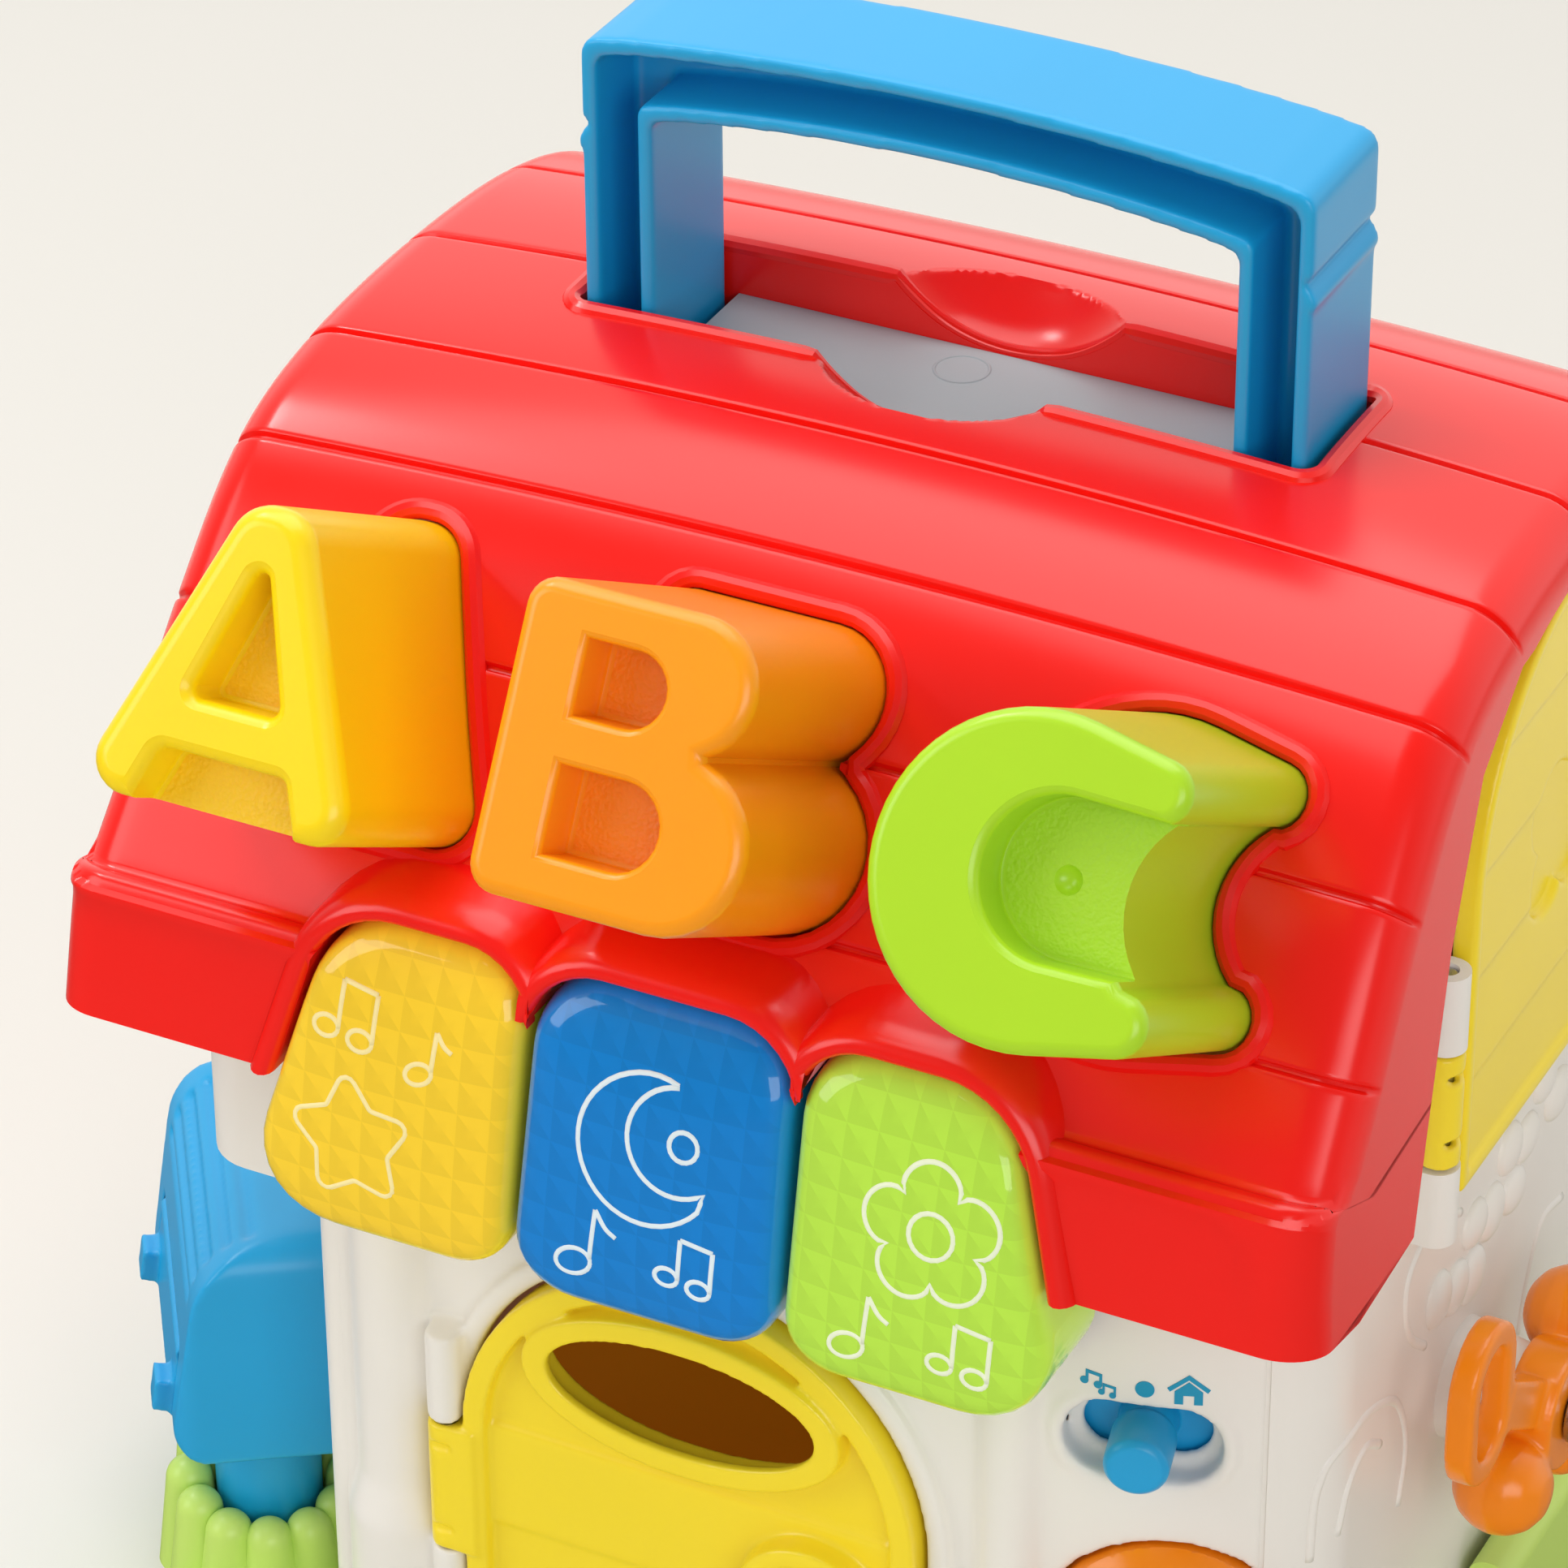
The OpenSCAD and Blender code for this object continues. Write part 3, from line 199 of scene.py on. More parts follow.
def settle(shown):
    """Work the modifiers of a piece into its mesh for good."""
    ready = shown.evaluated_get(bpy.context.evaluated_depsgraph_get())
    mesh = bpy.data.meshes.new_from_object(ready)
    shown.modifiers.clear()
    old = shown.data
    shown.data = mesh
    mesh.name = shown.name
    bpy.data.meshes.remove(old)


# %% [markdown]
# ## Softened edges
# No edge of a moulded toy is sharp. Plain pieces are copies of their solids: the loose triangles are
# merged, flat areas become single faces again, and a bevel with weighted normals rolls every corner.


# %% roll the edges of a solid
def bare(node):
    """A merged working copy of a solid, with each flat area as one face."""
    work = bmesh.new()
    work.from_mesh(frame["nodes"][node].data)
    bmesh.ops.remove_doubles(work, verts=work.verts, dist=2e-6)
    bmesh.ops.dissolve_limit(work, angle_limit=radians(0.5), verts=work.verts, edges=work.edges)
    return work


def dress(node, width):
    """Show a solid with rolled edges of this width and its own finish."""
    shown = show(node + "_moulded", bare(node), node, corner=180)
    roll = shown.modifiers.new("rolled edges", "BEVEL")
    roll.limit_method = "ANGLE"
    roll.angle_limit = radians(35)
    roll.width = width * MM
    roll.segments = 3
    roll.use_clamp_overlap = True
    even = shown.modifiers.new("even shading", "WEIGHTED_NORMAL")
    even.keep_sharp = True


# %% [markdown]
# ## Drawing tools
# Outlines are drawn flat as a few corners and arcs. A sheet is a fine grid laid over a form, the way
# a vacuum former drapes plastic. A slab is a flat outline carried along one direction, used for holes
# and flat marks. A loft joins grown copies of one outline. A bead is a round rim that follows a path.


# %% outlines
def arc(centre, radius, start, end, steps):
    """Points on a circle from one angle to another, in degrees."""
    angles = [radians(start + (end - start) * k / steps) for k in range(steps + 1)]
    return [Vector((centre[0] + radius * cos(a), centre[1] + radius * sin(a))) for a in angles]


def rounded(corners, radii, steps=8):
    """A closed outline with each corner turned by its own radius."""
    out = []
    for k, radius in enumerate(radii):
        here, prev, after = Vector(corners[k]), Vector(corners[k - 1]), Vector(corners[(k + 1) % len(radii)])
        one, two = (prev - here).normalized(), (after - here).normalized()
        half = acos(one.dot(two)) / 2
        middle = here + (one + two).normalized() * radius / sin(half)
        first = here + one * radius / tan(half) - middle
        last = here + two * radius / tan(half) - middle
        begin = degrees(atan2(first.y, first.x))
        sweep = (degrees(atan2(last.y, last.x)) - begin + 180) % 360 - 180
        out += arc(middle, radius, begin, begin + sweep, steps)
    return out


def evenly(points, pitch):
    """The same closed outline with a point about every pitch millimetres along its straights."""
    out = []
    for here, after in zip(points, points[1:] + points[:1]):
        parts = max(1, round((after - here).length / pitch))
        if (after - here).length > 0.02:
            out += [here.lerp(after, k / parts) for k in range(parts)]
    return out


def grown(points, distance):
    """A closed outline moved outwards by a distance, or inwards if it is negative."""
    turned = zip(points, points[1:] + points[:1])
    way = 1 if sum(a.x * b.y - b.x * a.y for a, b in turned) > 0 else -1
    out = []
    for k, here in enumerate(points):
        one = (here - points[k - 1]).normalized()
        two = (points[(k + 1) % len(points)] - here).normalized()
        along = (one + two).normalized()
        reach = distance / max(0.5, sqrt((1 + one.dot(two)) / 2))
        out.append(here + Vector((along.y, -along.x)) * way * reach)
    return out


# %% sheets, slabs, lofts and beads
def sheet(columns, rows, place):
    """A fine grid of points laid on a form: place(column, row) gives each point in millimetres."""
    work = bmesh.new()
    bmesh.ops.create_grid(work, x_segments=columns - 1, y_segments=rows - 1, size=0.5)
    for vert in work.verts:
        column = round((vert.co.x + 0.5) * (columns - 1))
        row = round((vert.co.y + 0.5) * (rows - 1))
        vert.co = Vector(place(column, row)) * MM
    bmesh.ops.remove_doubles(work, verts=work.verts, dist=1e-6)
    bmesh.ops.recalc_face_normals(work, faces=work.faces)
    return work


def slab(points, place, low, high):
    """A flat outline carried from low to high: place(point, distance) sets it in the house."""
    work = bmesh.new()
    lows = [Vector(place(p, low)) * MM for p in points]
    base = work.faces.new([work.verts.new(p) for p in lows])
    raised = bmesh.ops.extrude_face_region(work, geom=[base])["geom"]
    for vert in raised:
        if isinstance(vert, bmesh.types.BMVert):
            nearest = min(range(len(lows)), key=lambda k: (lows[k] - vert.co).length_squared)
            vert.co = Vector(place(points[nearest], high)) * MM
    bmesh.ops.recalc_face_normals(work, faces=work.faces)
    return work


def capped(work):
    """Close the open ends of a form with flat faces."""
    bmesh.ops.holes_fill(work, edges=[e for e in work.edges if e.is_boundary], sides=0)
    bmesh.ops.recalc_face_normals(work, faces=work.faces)
    return work


def loft(outline, place, levels):
    """A closed form through grown copies of one outline, each at its own distance."""
    rings = [grown(outline, grow) for grow, _ in levels]
    count = len(outline)

    def on_ring(column, row):
        return place(rings[row][column % count], levels[row][1])

    return capped(sheet(count + 1, len(levels), on_ring))


def bead(path, radii, closed=True, turns=10):
    """A round rim along a path of points, each with its own radius."""
    count = len(path)

    def place(column, row):
        here = path[column % count]
        ahead = path[(column + 1) % count] if closed or column < count - 1 else here
        behind = path[column - 1 if closed or column else 0]
        along = (ahead - behind).normalized()
        side = along.cross(Vector((0.31, -0.52, 0.8))).normalized()
        angle = 2 * pi * row / turns
        offset = side * cos(angle) + along.cross(side) * sin(angle)
        return here + offset * radii[column % count]

    return sheet(count + 1 if closed else count, turns + 1, place)


# %% [markdown]
# ## The roof
# The roof is one red moulding: five planks a side, bent in a soft curve from the ridge to the fascia,
# crowned in the middle and rolled over at both ends. The planks are parted by fine grooves with
# softened lips. It is draped here as one sheet over that form, because the gloss of the real roof
# shows every flat facet. Beside the handle slot the sheet dips into two finger scoops, so it has finer
# rows there.

# %% the plank curve
RUN, FOOT, RISE, EAVE = 98.7, 158.5, 62.0, 137.0
HALF, CROWN, LEAN, FAN = 104.6, 4.4, 0.045, 118.0
PLANKS = [(0, 1), (0.311, 0.965), (0.532, 0.842), (0.724, 0.544), (0.886, 0.218), (1, 0)]
KNOTS = [Vector((u * RUN, FOOT + v * RISE)) for u, v in PLANKS]


def through(knots, i, t):
    """A smooth curve through the knots, between knot i and the next one."""
    first = 2 * knots[0] - knots[1] if i == 0 else knots[i - 1]
    last = 2 * knots[-1] - knots[-2] if i + 2 == len(knots) else knots[i + 2]
    a, b, c, d = first, knots[i], knots[i + 1], last
    bend = (2 * a - 5 * b + 4 * c - d) * t * t + (3 * b - a - 3 * c + d) * t**3
    return 0.5 * (2 * b + (c - a) * t + bend)


BOTH = [Vector((-k.x, k.y)) for k in KNOTS[:0:-1]] + KNOTS
LIP = 1.4
GROOVE = [(0.0, 1.0), (0.3, 0.92), (0.5, 0.5), (0.68, 0.14), (0.95, 0.03), (LIP, 0.0)]
RIDGE_STEPS, PLANK_STEPS = 48, 9


def plank_rows():
    """Half the roof from ridge to eave: distance, height and how deep in a groove each row lies."""
    rows = []
    for i in range(5):
        width = (KNOTS[i + 1] - KNOTS[i]).length
        steps = RIDGE_STEPS if i == 0 else PLANK_STEPS
        marks = list(GROOVE)
        marks += [(LIP + (width - 2 * LIP) * k / steps, 0.0) for k in range(1, steps)]
        marks += [(width - s, depth) for s, depth in GROOVE[:0:-1]] if i < 4 else []
        rows += [(*through(BOTH, i + 5, s / width), depth) for s, depth in marks]
    brow = [(-0.7, 0.9), (0.5, 0.3), (2, 1.0), (3.5, 0.9), (4.6, -0.4), (5, -2), (6.8, -12)]
    brow += [(8.4, EAVE - 0.4 - FOOT)]
    brow = [Vector((RUN + u, FOOT + v)) for u, v in brow]
    rows += [(*through(brow, i, k / 4), 0.0) for i in range(7) for k in range(4)]
    return rows + [(*brow[-1], 0.0)]


ROWS = plank_rows()
PROFILE = [(-y, z, deep) for y, z, deep in ROWS[:0:-1]] + ROWS
print("roof profile:", len(PROFILE), "rows")


# %% heights on the roof
def blend(one, two, reach):
    """The lower of two heights, with the corner between them rounded over this reach."""
    part = min(1.0, max(0.0, 0.5 + 0.5 * (two - one) / reach))
    return two + (one - two) * part - reach * part * (1 - part)


SCOOP_LONG, SCOOP_WIDE, SCOOP_DEEP = 20.15, 13.0, 13.0
SCOOP_OFF, SCOOP_TOP, SCOOP_LIP = 10.5, 228.5, 5.0
SCOOP_FLARE, SCOOP_FAR = 14, (32, 34)


def dished(x, y, z):
    """Lower a roof height into the finger scoop beside the slot: an oval bowl with a rounded lip."""
    if abs(x) > SCOOP_FAR[0] or abs(y) > SCOOP_FAR[1]:
        return z
    spread = (x / SCOOP_LONG) ** 2 + ((abs(y) - SCOOP_OFF) / SCOOP_WIDE) ** 2
    bowl = -SCOOP_DEEP * sqrt(1 - spread) if spread < 1 else SCOOP_FLARE * (spread - 1)
    return blend(z, SCOOP_TOP + bowl, SCOOP_LIP)


def roof_height(x, y):
    """Height of the roof skin over a point of the plan, grooves left out."""
    for (ya, za, _), (yb, zb, _) in zip(ROWS, ROWS[1:]):
        if ya <= abs(y) <= yb:
            z = za + (zb - za) * (abs(y) - ya) / max(yb - ya, 1e-6)
            high = max(0.0, (z - FOOT) / RISE)
            return dished(x, y, z + CROWN * (1 - (x / HALF) ** 2) * high * high)
    return EAVE


# %% where the sheet is draped
ROLL, ENDS = 8.0, 18.0


def stations(shrink, fine):
    """Places along the ridge with how far the sheet is drawn in there and how far it has rolled over."""
    radius, straight = ROLL - shrink, HALF - ROLL
    bend = [radians(90 - 7.5 * k) for k in range(13)]
    left = [(-(straight + radius * sin(a)), radius * (1 - cos(a)) + shrink, a) for a in bend]
    outer = [27 + 49 * k / 12 for k in range(12)] + [76 + k for k in range(17)] + [94.5]
    flat = [-x for x in outer[::-1]] + [-27 + 54 * k / fine for k in range(1, fine)] + outer
    right = [(-x, inset, a) for x, inset, a in left[::-1]]
    end = straight + radius
    first = [(0.8 - end, ENDS + 0.8 + shrink, pi / 2), (-end, ENDS + shrink, pi / 2)]
    return first + left + [(x, shrink, 0.0) for x in flat] + right + [(end, ENDS + shrink, pi / 2)]


PANEL_END, PANEL_DROP, PANEL_CORNER = 86, 11, 7
PANEL_SLOPE, PANEL_PROUD, PANEL_FADE = 2.5, 1.2, 7


def framed(x, z):
    """How far the frame round the fascia's sunken panel stands out at a point."""
    over, above = max(0.0, x - PANEL_END), max(0.0, z - (FOOT - PANEL_DROP))
    part = min(1.0, max(0.0, (sqrt(over * over + above * above) - PANEL_CORNER) / PANEL_SLOPE))
    fade = min(1.0, max(0.0, (z - EAVE - 1) / PANEL_FADE))
    return PANEL_PROUD * fade * part * part * (3 - 2 * part) if z < FOOT - 0.5 else 0.0


def roof_block(shrink, fine, groove, drop):
    """The roof as a full block: the draped sheet, closed underneath and at both ends."""
    spots = stations(shrink, fine)
    spots = spots[:1] + spots + spots[-1:]
    rows = [PROFILE[0]] + PROFILE + [PROFILE[-1]]

    def place(column, row):
        x, inset, angle = spots[column]
        if column in (0, len(spots) - 1):
            return x * (1 - LEAN * (160 - EAVE) / HALF), 0.0, 160.0
        y, z, deep = rows[row % len(rows)]
        ray = Vector((y, z - FAN)).normalized()
        deep *= groove * min(1.0, max(0.0, (1.45 - angle) / 0.5))
        y, z = Vector((y, z)) - (inset + deep * cos(angle)) * ray
        y -= framed(x, z) if y < 0 else 0.0
        high = max(0.0, (z - FOOT) / RISE)
        x -= (1 if x > 0 else -1) * deep * sin(angle)
        top = dished(x, y, z + shrink + CROWN * (1 - (x / HALF) ** 2) * high * high) - shrink
        foot = drop if row % len(rows) in (0, len(rows) - 1) else 0.0
        return x * (1 - LEAN * (z - EAVE) / HALF), y, top - foot

    return sheet(len(spots), len(rows) + 1, place)


# %% [markdown]
# The block is hollowed by a second one, 2.6 mm smaller all round, which leaves the moulded shell.


# %% cut one form out of another
def cut(shown, *cutters):
    """Cut worked forms out of a piece."""
    for work in cutters:
        mesh = bpy.data.meshes.new("cutter")
        work.to_mesh(mesh)
        work.free()
        tool = bpy.data.objects.new("cutter", mesh)
        bpy.context.scene.collection.objects.link(tool)
        hole = shown.modifiers.new("hole", "BOOLEAN")
        hole.solver = "MANIFOLD"
        hole.object = tool
        settle(shown)
        bpy.data.objects.remove(tool)
        bpy.data.meshes.remove(mesh)


SKIN, GROOVE_DEEP = 2.6, 1.1
roof = show("roof_planks", roof_block(0.0, 90, GROOVE_DEEP, 0.0), "roof_shell")
print("roof block:", len(roof.data.polygons), "faces")
cut(roof, roof_block(SKIN, 9, 0.0, 16.0))
print("roof shell:", len(roof.data.polygons), "faces")

# %% [markdown]
# ### Holes in the roof
# Three letter holes run along the axis the blocks slide on, 30 degrees up from level. The handle slot
# goes straight down, the key recesses straight back, and the right end is open for the gable door.


# %% letters in their own plane
def letter_a(g):
    """Outline of the A, grown by g: a trapezium with rounded corners."""
    corners = [(-23.7 - 1.3 * g, -24 - g), (23.7 + 1.3 * g, -24 - g), (5.2 + 0.7 * g, 22.3 + g)]
    return rounded(corners + [(-5.2 - 0.7 * g, 22.3 + g)], [5.5 + g, 5.5 + g, 6.8 + g, 6.8 + g])


def letter_b(g):
    """Outline of the B, grown by g: two bows that meet at the waist, and a straight spine."""
    low, high, one, two = Vector((8, -10.3)), Vector((7, 12.2)), 13.2 + g, 10.3 + g
    gap = high - low
    base, d = degrees(atan2(gap.y, gap.x)), gap.length
    near = degrees(acos((one * one + d * d - two * two) / (2 * one * d)))
    far = degrees(acos((two * two + d * d - one * one) / (2 * two * d)))
    bows = arc(low, one, -90, base - near - 5, 12) + arc(high, two, base - 180 + far + 6, 90, 12)
    return bows + arc((-16, 18), 4.5 + g, 90, 180, 6) + arc((-16, -19), 4.5 + g, 180, 270, 6)


def letter_c(g):
    """Outline of the C, grown by g: a round back with two round tips and a bay between them."""
    bow = arc((0.5, -2), 23.9 + g, 78, 282, 30) + arc((17.3, -17.9), 4.8 + g, -78, 60, 8)
    return bow + arc((28, -1.6), 15.8 - g, 227, 133, 12) + arc((16.3, 14.3), 4.7 + g, -60, 78, 8)


LETTER_GAP = 62.0
LETTERS = [(-LETTER_GAP, letter_a), (0.0, letter_b), (LETTER_GAP, letter_c)]
AXIS_Y, AXIS_Z, AXIS_RISE = -73.5, 190, radians(30)


def on_letter(x):
    """Place a letter drawing on its sliding axis."""
    along, up = cos(AXIS_RISE), sin(AXIS_RISE)

    def place(point, out):
        y = AXIS_Y + point[1] * up - out * along
        return x + point[0], y, AXIS_Z + point[1] * along + out * up

    return place


# %% keys in the front view
def key_outline(i, g):
    """Outline of the left, middle or right key (-1, 0, 1), grown by g."""
    if i == 0:
        corners = [(-22.1 - g, 113.4 - g), (22.1 + g, 113.4 - g), (21 + g, 164.8 + g), (-21 - g, 164.8 + g)]
        return rounded(corners, [10 + g, 10 + g, 11 + g, 11 + g])
    corners = [(-69.5 - 1.31 * g, 113.8 - g), (-22.9 + g, 113.8 - g), (-22.9 + g, 164.6 + g)]
    drawn = rounded(corners + [(-55.5 - 0.763 * g, 164.6 + g)], [13 + g, 9 + g, 10 + g, 14 + g])
    return drawn if i < 0 else [Vector((-p.x, p.y)) for p in drawn[::-1]]


def front_view(point, y):
    """Place a drawing made in the front view."""
    return point[0], y, point[1]


def top_view(point, z):
    """Place a drawing made in the top view."""
    return point[0], point[1], z


def side_view(point, x):
    """Place a drawing made in the side view."""
    return x, point[0], point[1]


# %% cut the holes
def slot_outline(g):
    """Outline of the handle slot, grown by g."""
    x, y = 61.6 + g, 13.5 + g
    return rounded([(-x, -y), (x, -y), (x, y), (-x, y)], [3 + g] * 4)


crest = [(-74, 120), (-64, 150), (-55, 176), (-43, 199), (-28, 209)]
gable_gap = crest + arc((0, 128), 84.6, 106, 74, 8) + [(-y, z) for y, z in crest[::-1]]
cut(roof, slab(slot_outline(0), top_view, 190, 240), slab(gable_gap, side_view, 92.6, 112.6))
for x, letter in LETTERS:
    cut(roof, slab(evenly(letter(0.6), 9), on_letter(x), -40, 40))
for i in (-1, 0, 1):
    cut(roof, slab(key_outline(i, 0.9), front_view, -130, -84))
roof.data.shade_smooth()
roof.data.set_sharp_from_angle(angle=radians(32))
even = roof.modifiers.new("even shading", "WEIGHTED_NORMAL")
even.keep_sharp = True
print("roof with holes:", len(roof.data.polygons), "faces")

# %% [markdown]
# ### Beads and handle well
# Round beads stiffen the rims of the holes. Each bead follows its outline over the curved planks, half
# sunk into them. The bead of the handle slot thins out to a plain lip where it crosses the scoops.


# %% beads round the letter holes
def to_roof(place, point):
    """Where a letter outline point meets the roof skin, found by halving the way along its axis."""
    low, high = -45.0, 45.0
    for _ in range(40):
        out = (low + high) / 2
        x, y, z = place(point, out)
        low, high = (out, high) if z < roof_height(x, y) or y > 0 else (low, out)
    return Vector(place(point, low))


for x, letter in LETTERS:
    path = [to_roof(on_letter(x), p) for p in evenly(letter(1.9), 2.0)]
    path = [p + Vector((0, 0.2, -0.3)) for p in path]
    show("letter_bead_%d" % x, bead(path, [1.65] * len(path)), "roof_shell")

# %% bead and walls of the handle slot
rim = evenly(slot_outline(1.1), 1.5)
thin = [min(1.0, max(0.0, (abs(p.x) - 17.0) / 4.0)) for p in rim]
thin = [0.75 + 0.85 * t * t * (3 - 2 * t) for t in thin]
path = [Vector((p.x, p.y, roof_height(p.x, p.y) - 0.3 * r)) for p, r in zip(rim, thin)]
show("slot_bead", bead(path, thin), "roof_shell")
wall = evenly(slot_outline(-0.15), 1.5)
wall_back = grown(wall, 2.0)
WELL_FOOT = 206.5


def on_well(column, row):
    """The four corners of the well wall's section, carried round the slot."""
    step, spot = row % 4, column % len(wall)
    point = wall_back[spot] if step in (1, 2) else wall[spot]
    top = roof_height(wall[spot].x, wall[spot].y) - 0.5
    return point.x, point.y, top if step < 2 else WELL_FOOT


show("slot_well", sheet(len(wall) + 1, 5, on_well), "roof_shell", corner=40)

# %% [markdown]
# ### Hood over the keys
# The fascia is scalloped over the three keys by a raised, rounded hood. It is one half-round band per
# key, following the key's outline, and the bands meet in sharp valleys between the keys. The fascia
# leans back by 11.5 degrees and the hood stands a few millimetres proud of it.


# %% hood bands
LEAN_BACK = radians(11.5)


def fascia_y(z, out):
    """How far forward the leaning front lies at a height, moved out by a distance."""
    return -(RUN + 8.2) - out + (z - EAVE) * tan(LEAN_BACK)


def trim(work, point, outwards):
    """Cut away what lies beyond a plane through a point."""
    everything = work.verts[:] + work.edges[:] + work.faces[:]
    plane = {"plane_co": [c * MM for c in point], "plane_no": outwards}
    bmesh.ops.bisect_plane(work, geom=everything, clear_outer=True, **plane)


def hood_band(i):
    """One band of the hood: an open path over the key, carrying a half-round section."""
    path = key_outline(i, 2.0)
    start = min(range(len(path)), key=lambda k: path[k].y)
    path = evenly(path[start:] + path[:start], 1.5)
    keep = [p for p in path if p.y > (134.0 if i * p.x > 45 else 156.0)]
    section = [(-1.1, 20), (-1.1, 2.2), (-0.9, 1.1), (-0.35, 0.35), (0.45, 0.0), (1.3, 0.2), (2.1, 0.8)]
    section += [(2.75, 1.8), (3.1, 3.2), (3.3, 5.0), (3.4, 20)]

    def place(column, row):
        here = keep[column]
        ahead, behind = keep[min(column + 1, len(keep) - 1)], keep[max(column - 1, 0)]
        along = (ahead - behind).normalized()
        off, back = section[row]
        point = here + Vector((along.y, -along.x)) * off
        return point.x, fascia_y(point.y, 2.4) + back, point.y

    return sheet(len(keep), len(section), place)


HOOD_FOOT = 136.6
for i, low, high in ((-1, -90, -21.6), (0, -23.4, 23.4), (1, 21.6, 90)):
    work = hood_band(i)
    trim(work, (low, 0, 0), (-1, 0, 0))
    trim(work, (high, 0, 0), (1, 0, 0))
    trim(work, (0, 0, HOOD_FOOT), (0, 0, -1))
    show("hood_band_%d" % i, capped(work), "roof_shell", corner=45)

# %% [markdown]
# ## Keys
# The three keys are see-through caps with a smooth pillow face. Their back is moulded in rows of small
# pyramids: each facet gets a slight bump and a painted shade, lighter or darker by the side of its cell, so
# under the clear gloss one sees a lattice of facets.
# The face is a sheet that runs from a straight skirt over a rounded rim to the middle of the pillow. The rim
# and skirt are painted lighter, standing in for light that comes through the thin edge.


# %% pillow faces
KEY_MID, KEY_BOW, KEY_ARCH, KEY_BACK = 139, 150, 78, -93.4


def pillow(mid, x, z):
    """How far forward the smooth face of a key lies at a point of the front view."""
    bowed = fascia_y(z, 4.2) + (KEY_BOW - sqrt(KEY_BOW**2 - (x - mid) ** 2)) / cos(LEAN_BACK)
    rise = z - (KEY_MID - KEY_ARCH * sin(LEAN_BACK))
    arched = -(RUN + 12.8) + KEY_ARCH * cos(LEAN_BACK) - sqrt(KEY_ARCH**2 - rise * rise)
    return -blend(-bowed, -arched, 1.5)


RIM = [(1.0, 9.0), (1.0, 4.2), (0.996, 3.3), (0.985, 2.3), (0.965, 1.4), (0.935, 0.7)]
RIM += [(0.895, 0.25), (0.85, 0.05)]
RIM += [(share, 0.0) for share in (0.78, 0.7, 0.61, 0.52, 0.43, 0.34, 0.25, 0.16, 0.08, 0.0)]


def key_sheet(i, mid):
    """A key cap: the outline shrinks towards the middle while the pillow comes forward."""
    outline = evenly(key_outline(i, 0.0), 2.0)

    def place(column, row):
        point = outline[column % len(outline)]
        if row == 0:
            return point.x, KEY_BACK, point.y
        share, back = RIM[row]
        x, z = mid + (point.x - mid) * share, KEY_MID + (point.y - KEY_MID) * share
        return x, pillow(mid, x, z) + back, z

    work = sheet(len(outline) + 1, len(RIM), place)
    # painted rim light: each point keeps how far it lies behind the pillow face, so the finish can paint the
    # rim and skirt lighter
    edge = work.verts.layers.float.new("edge")
    for vert in work.verts:
        x, y, z = vert.co / MM
        vert[edge] = min(1.0, max(0.0, (y - pillow(mid, x, z)) / 2.5))
    return work


# %% clear plastic over a lattice of pyramids
PYRAMID = 5.2


def clear_key(name, colour):
    """Tinted clear plastic: pyramid facets with a painted shade by their side and a painted lighter rim,
    under a smooth coat that keeps its own gloss.
    """
    finish = bpy.data.materials.new(name)
    finish.use_nodes = True
    tree = finish.node_tree
    shader = tree.nodes["Principled BSDF"]
    shader.inputs["IOR"].default_value = 1.5
    shader.inputs["Roughness"].default_value = 0.4
    shader.inputs["Specular IOR Level"].default_value = 0.2
    shader.inputs["Coat Weight"].default_value = 1.0
    shader.inputs["Coat Roughness"].default_value = 0.06
    where = put(tree, "ShaderNodeTexCoord").node.outputs["Object"]
    axes = put(tree, "ShaderNodeSeparateXYZ", sockets={"Vector": where}).node.outputs
    heights, signs = [], []
    for axis in (axes["X"], axes["Z"]):
        count = put(tree, "ShaderNodeMath", {"operation": "MULTIPLY"}, {0: axis, 1: 1000 / PYRAMID})
        part = put(tree, "ShaderNodeMath", {"operation": "FRACT"}, {0: count})
        signs.append(put(tree, "ShaderNodeMath", {"operation": "SUBTRACT"}, {0: part, 1: 0.5}))
        heights.append(put(tree, "ShaderNodeMath", {"operation": "ABSOLUTE"}, {0: signs[-1]}))
    steep = put(tree, "ShaderNodeMath", {"operation": "MAXIMUM"}, {0: heights[0], 1: heights[1]})
    across = put(tree, "ShaderNodeMath", {"operation": "GREATER_THAN"}, {0: heights[0], 1: heights[1]})
    way = put(tree, "ShaderNodeMix", {"data_type": "FLOAT"}, {0: across, 2: signs[1], 3: signs[0]})
    # painted shade of the pyramids: facets on the right and upper side of each cell are painted lighter,
    # those on the left and lower side darker
    painted_facet_shade = put(tree, "ShaderNodeMapRange", sockets={"Value": way, "From Min": -0.25, "From Max": 0.25})
    tones = {0: painted_facet_shade, 6: shade(colour, 0.95), 7: shade(colour, 1.04)}
    mix = put(tree, "ShaderNodeMix", {"data_type": "RGBA"}, tones).node.outputs[2]
    # painted rim light: the rim and skirt are painted lighter, standing in for light through the thin
    # plastic
    rim = put(tree, "ShaderNodeAttribute", {"attribute_name": "edge"}).node.outputs["Fac"]
    tones = {0: rim, 6: mix, 7: shade(colour, 1.25)}
    mix = put(tree, "ShaderNodeMix", {"data_type": "RGBA"}, tones).node.outputs[2]
    tree.links.new(mix, shader.inputs["Base Color"])
    lattice = {"Strength": 0.06, "Distance": PYRAMID * 0.0004, "Height": steep}
    bump = put(tree, "ShaderNodeBump", sockets=lattice)
    tree.links.new(bump, shader.inputs["Normal"])
    return finish


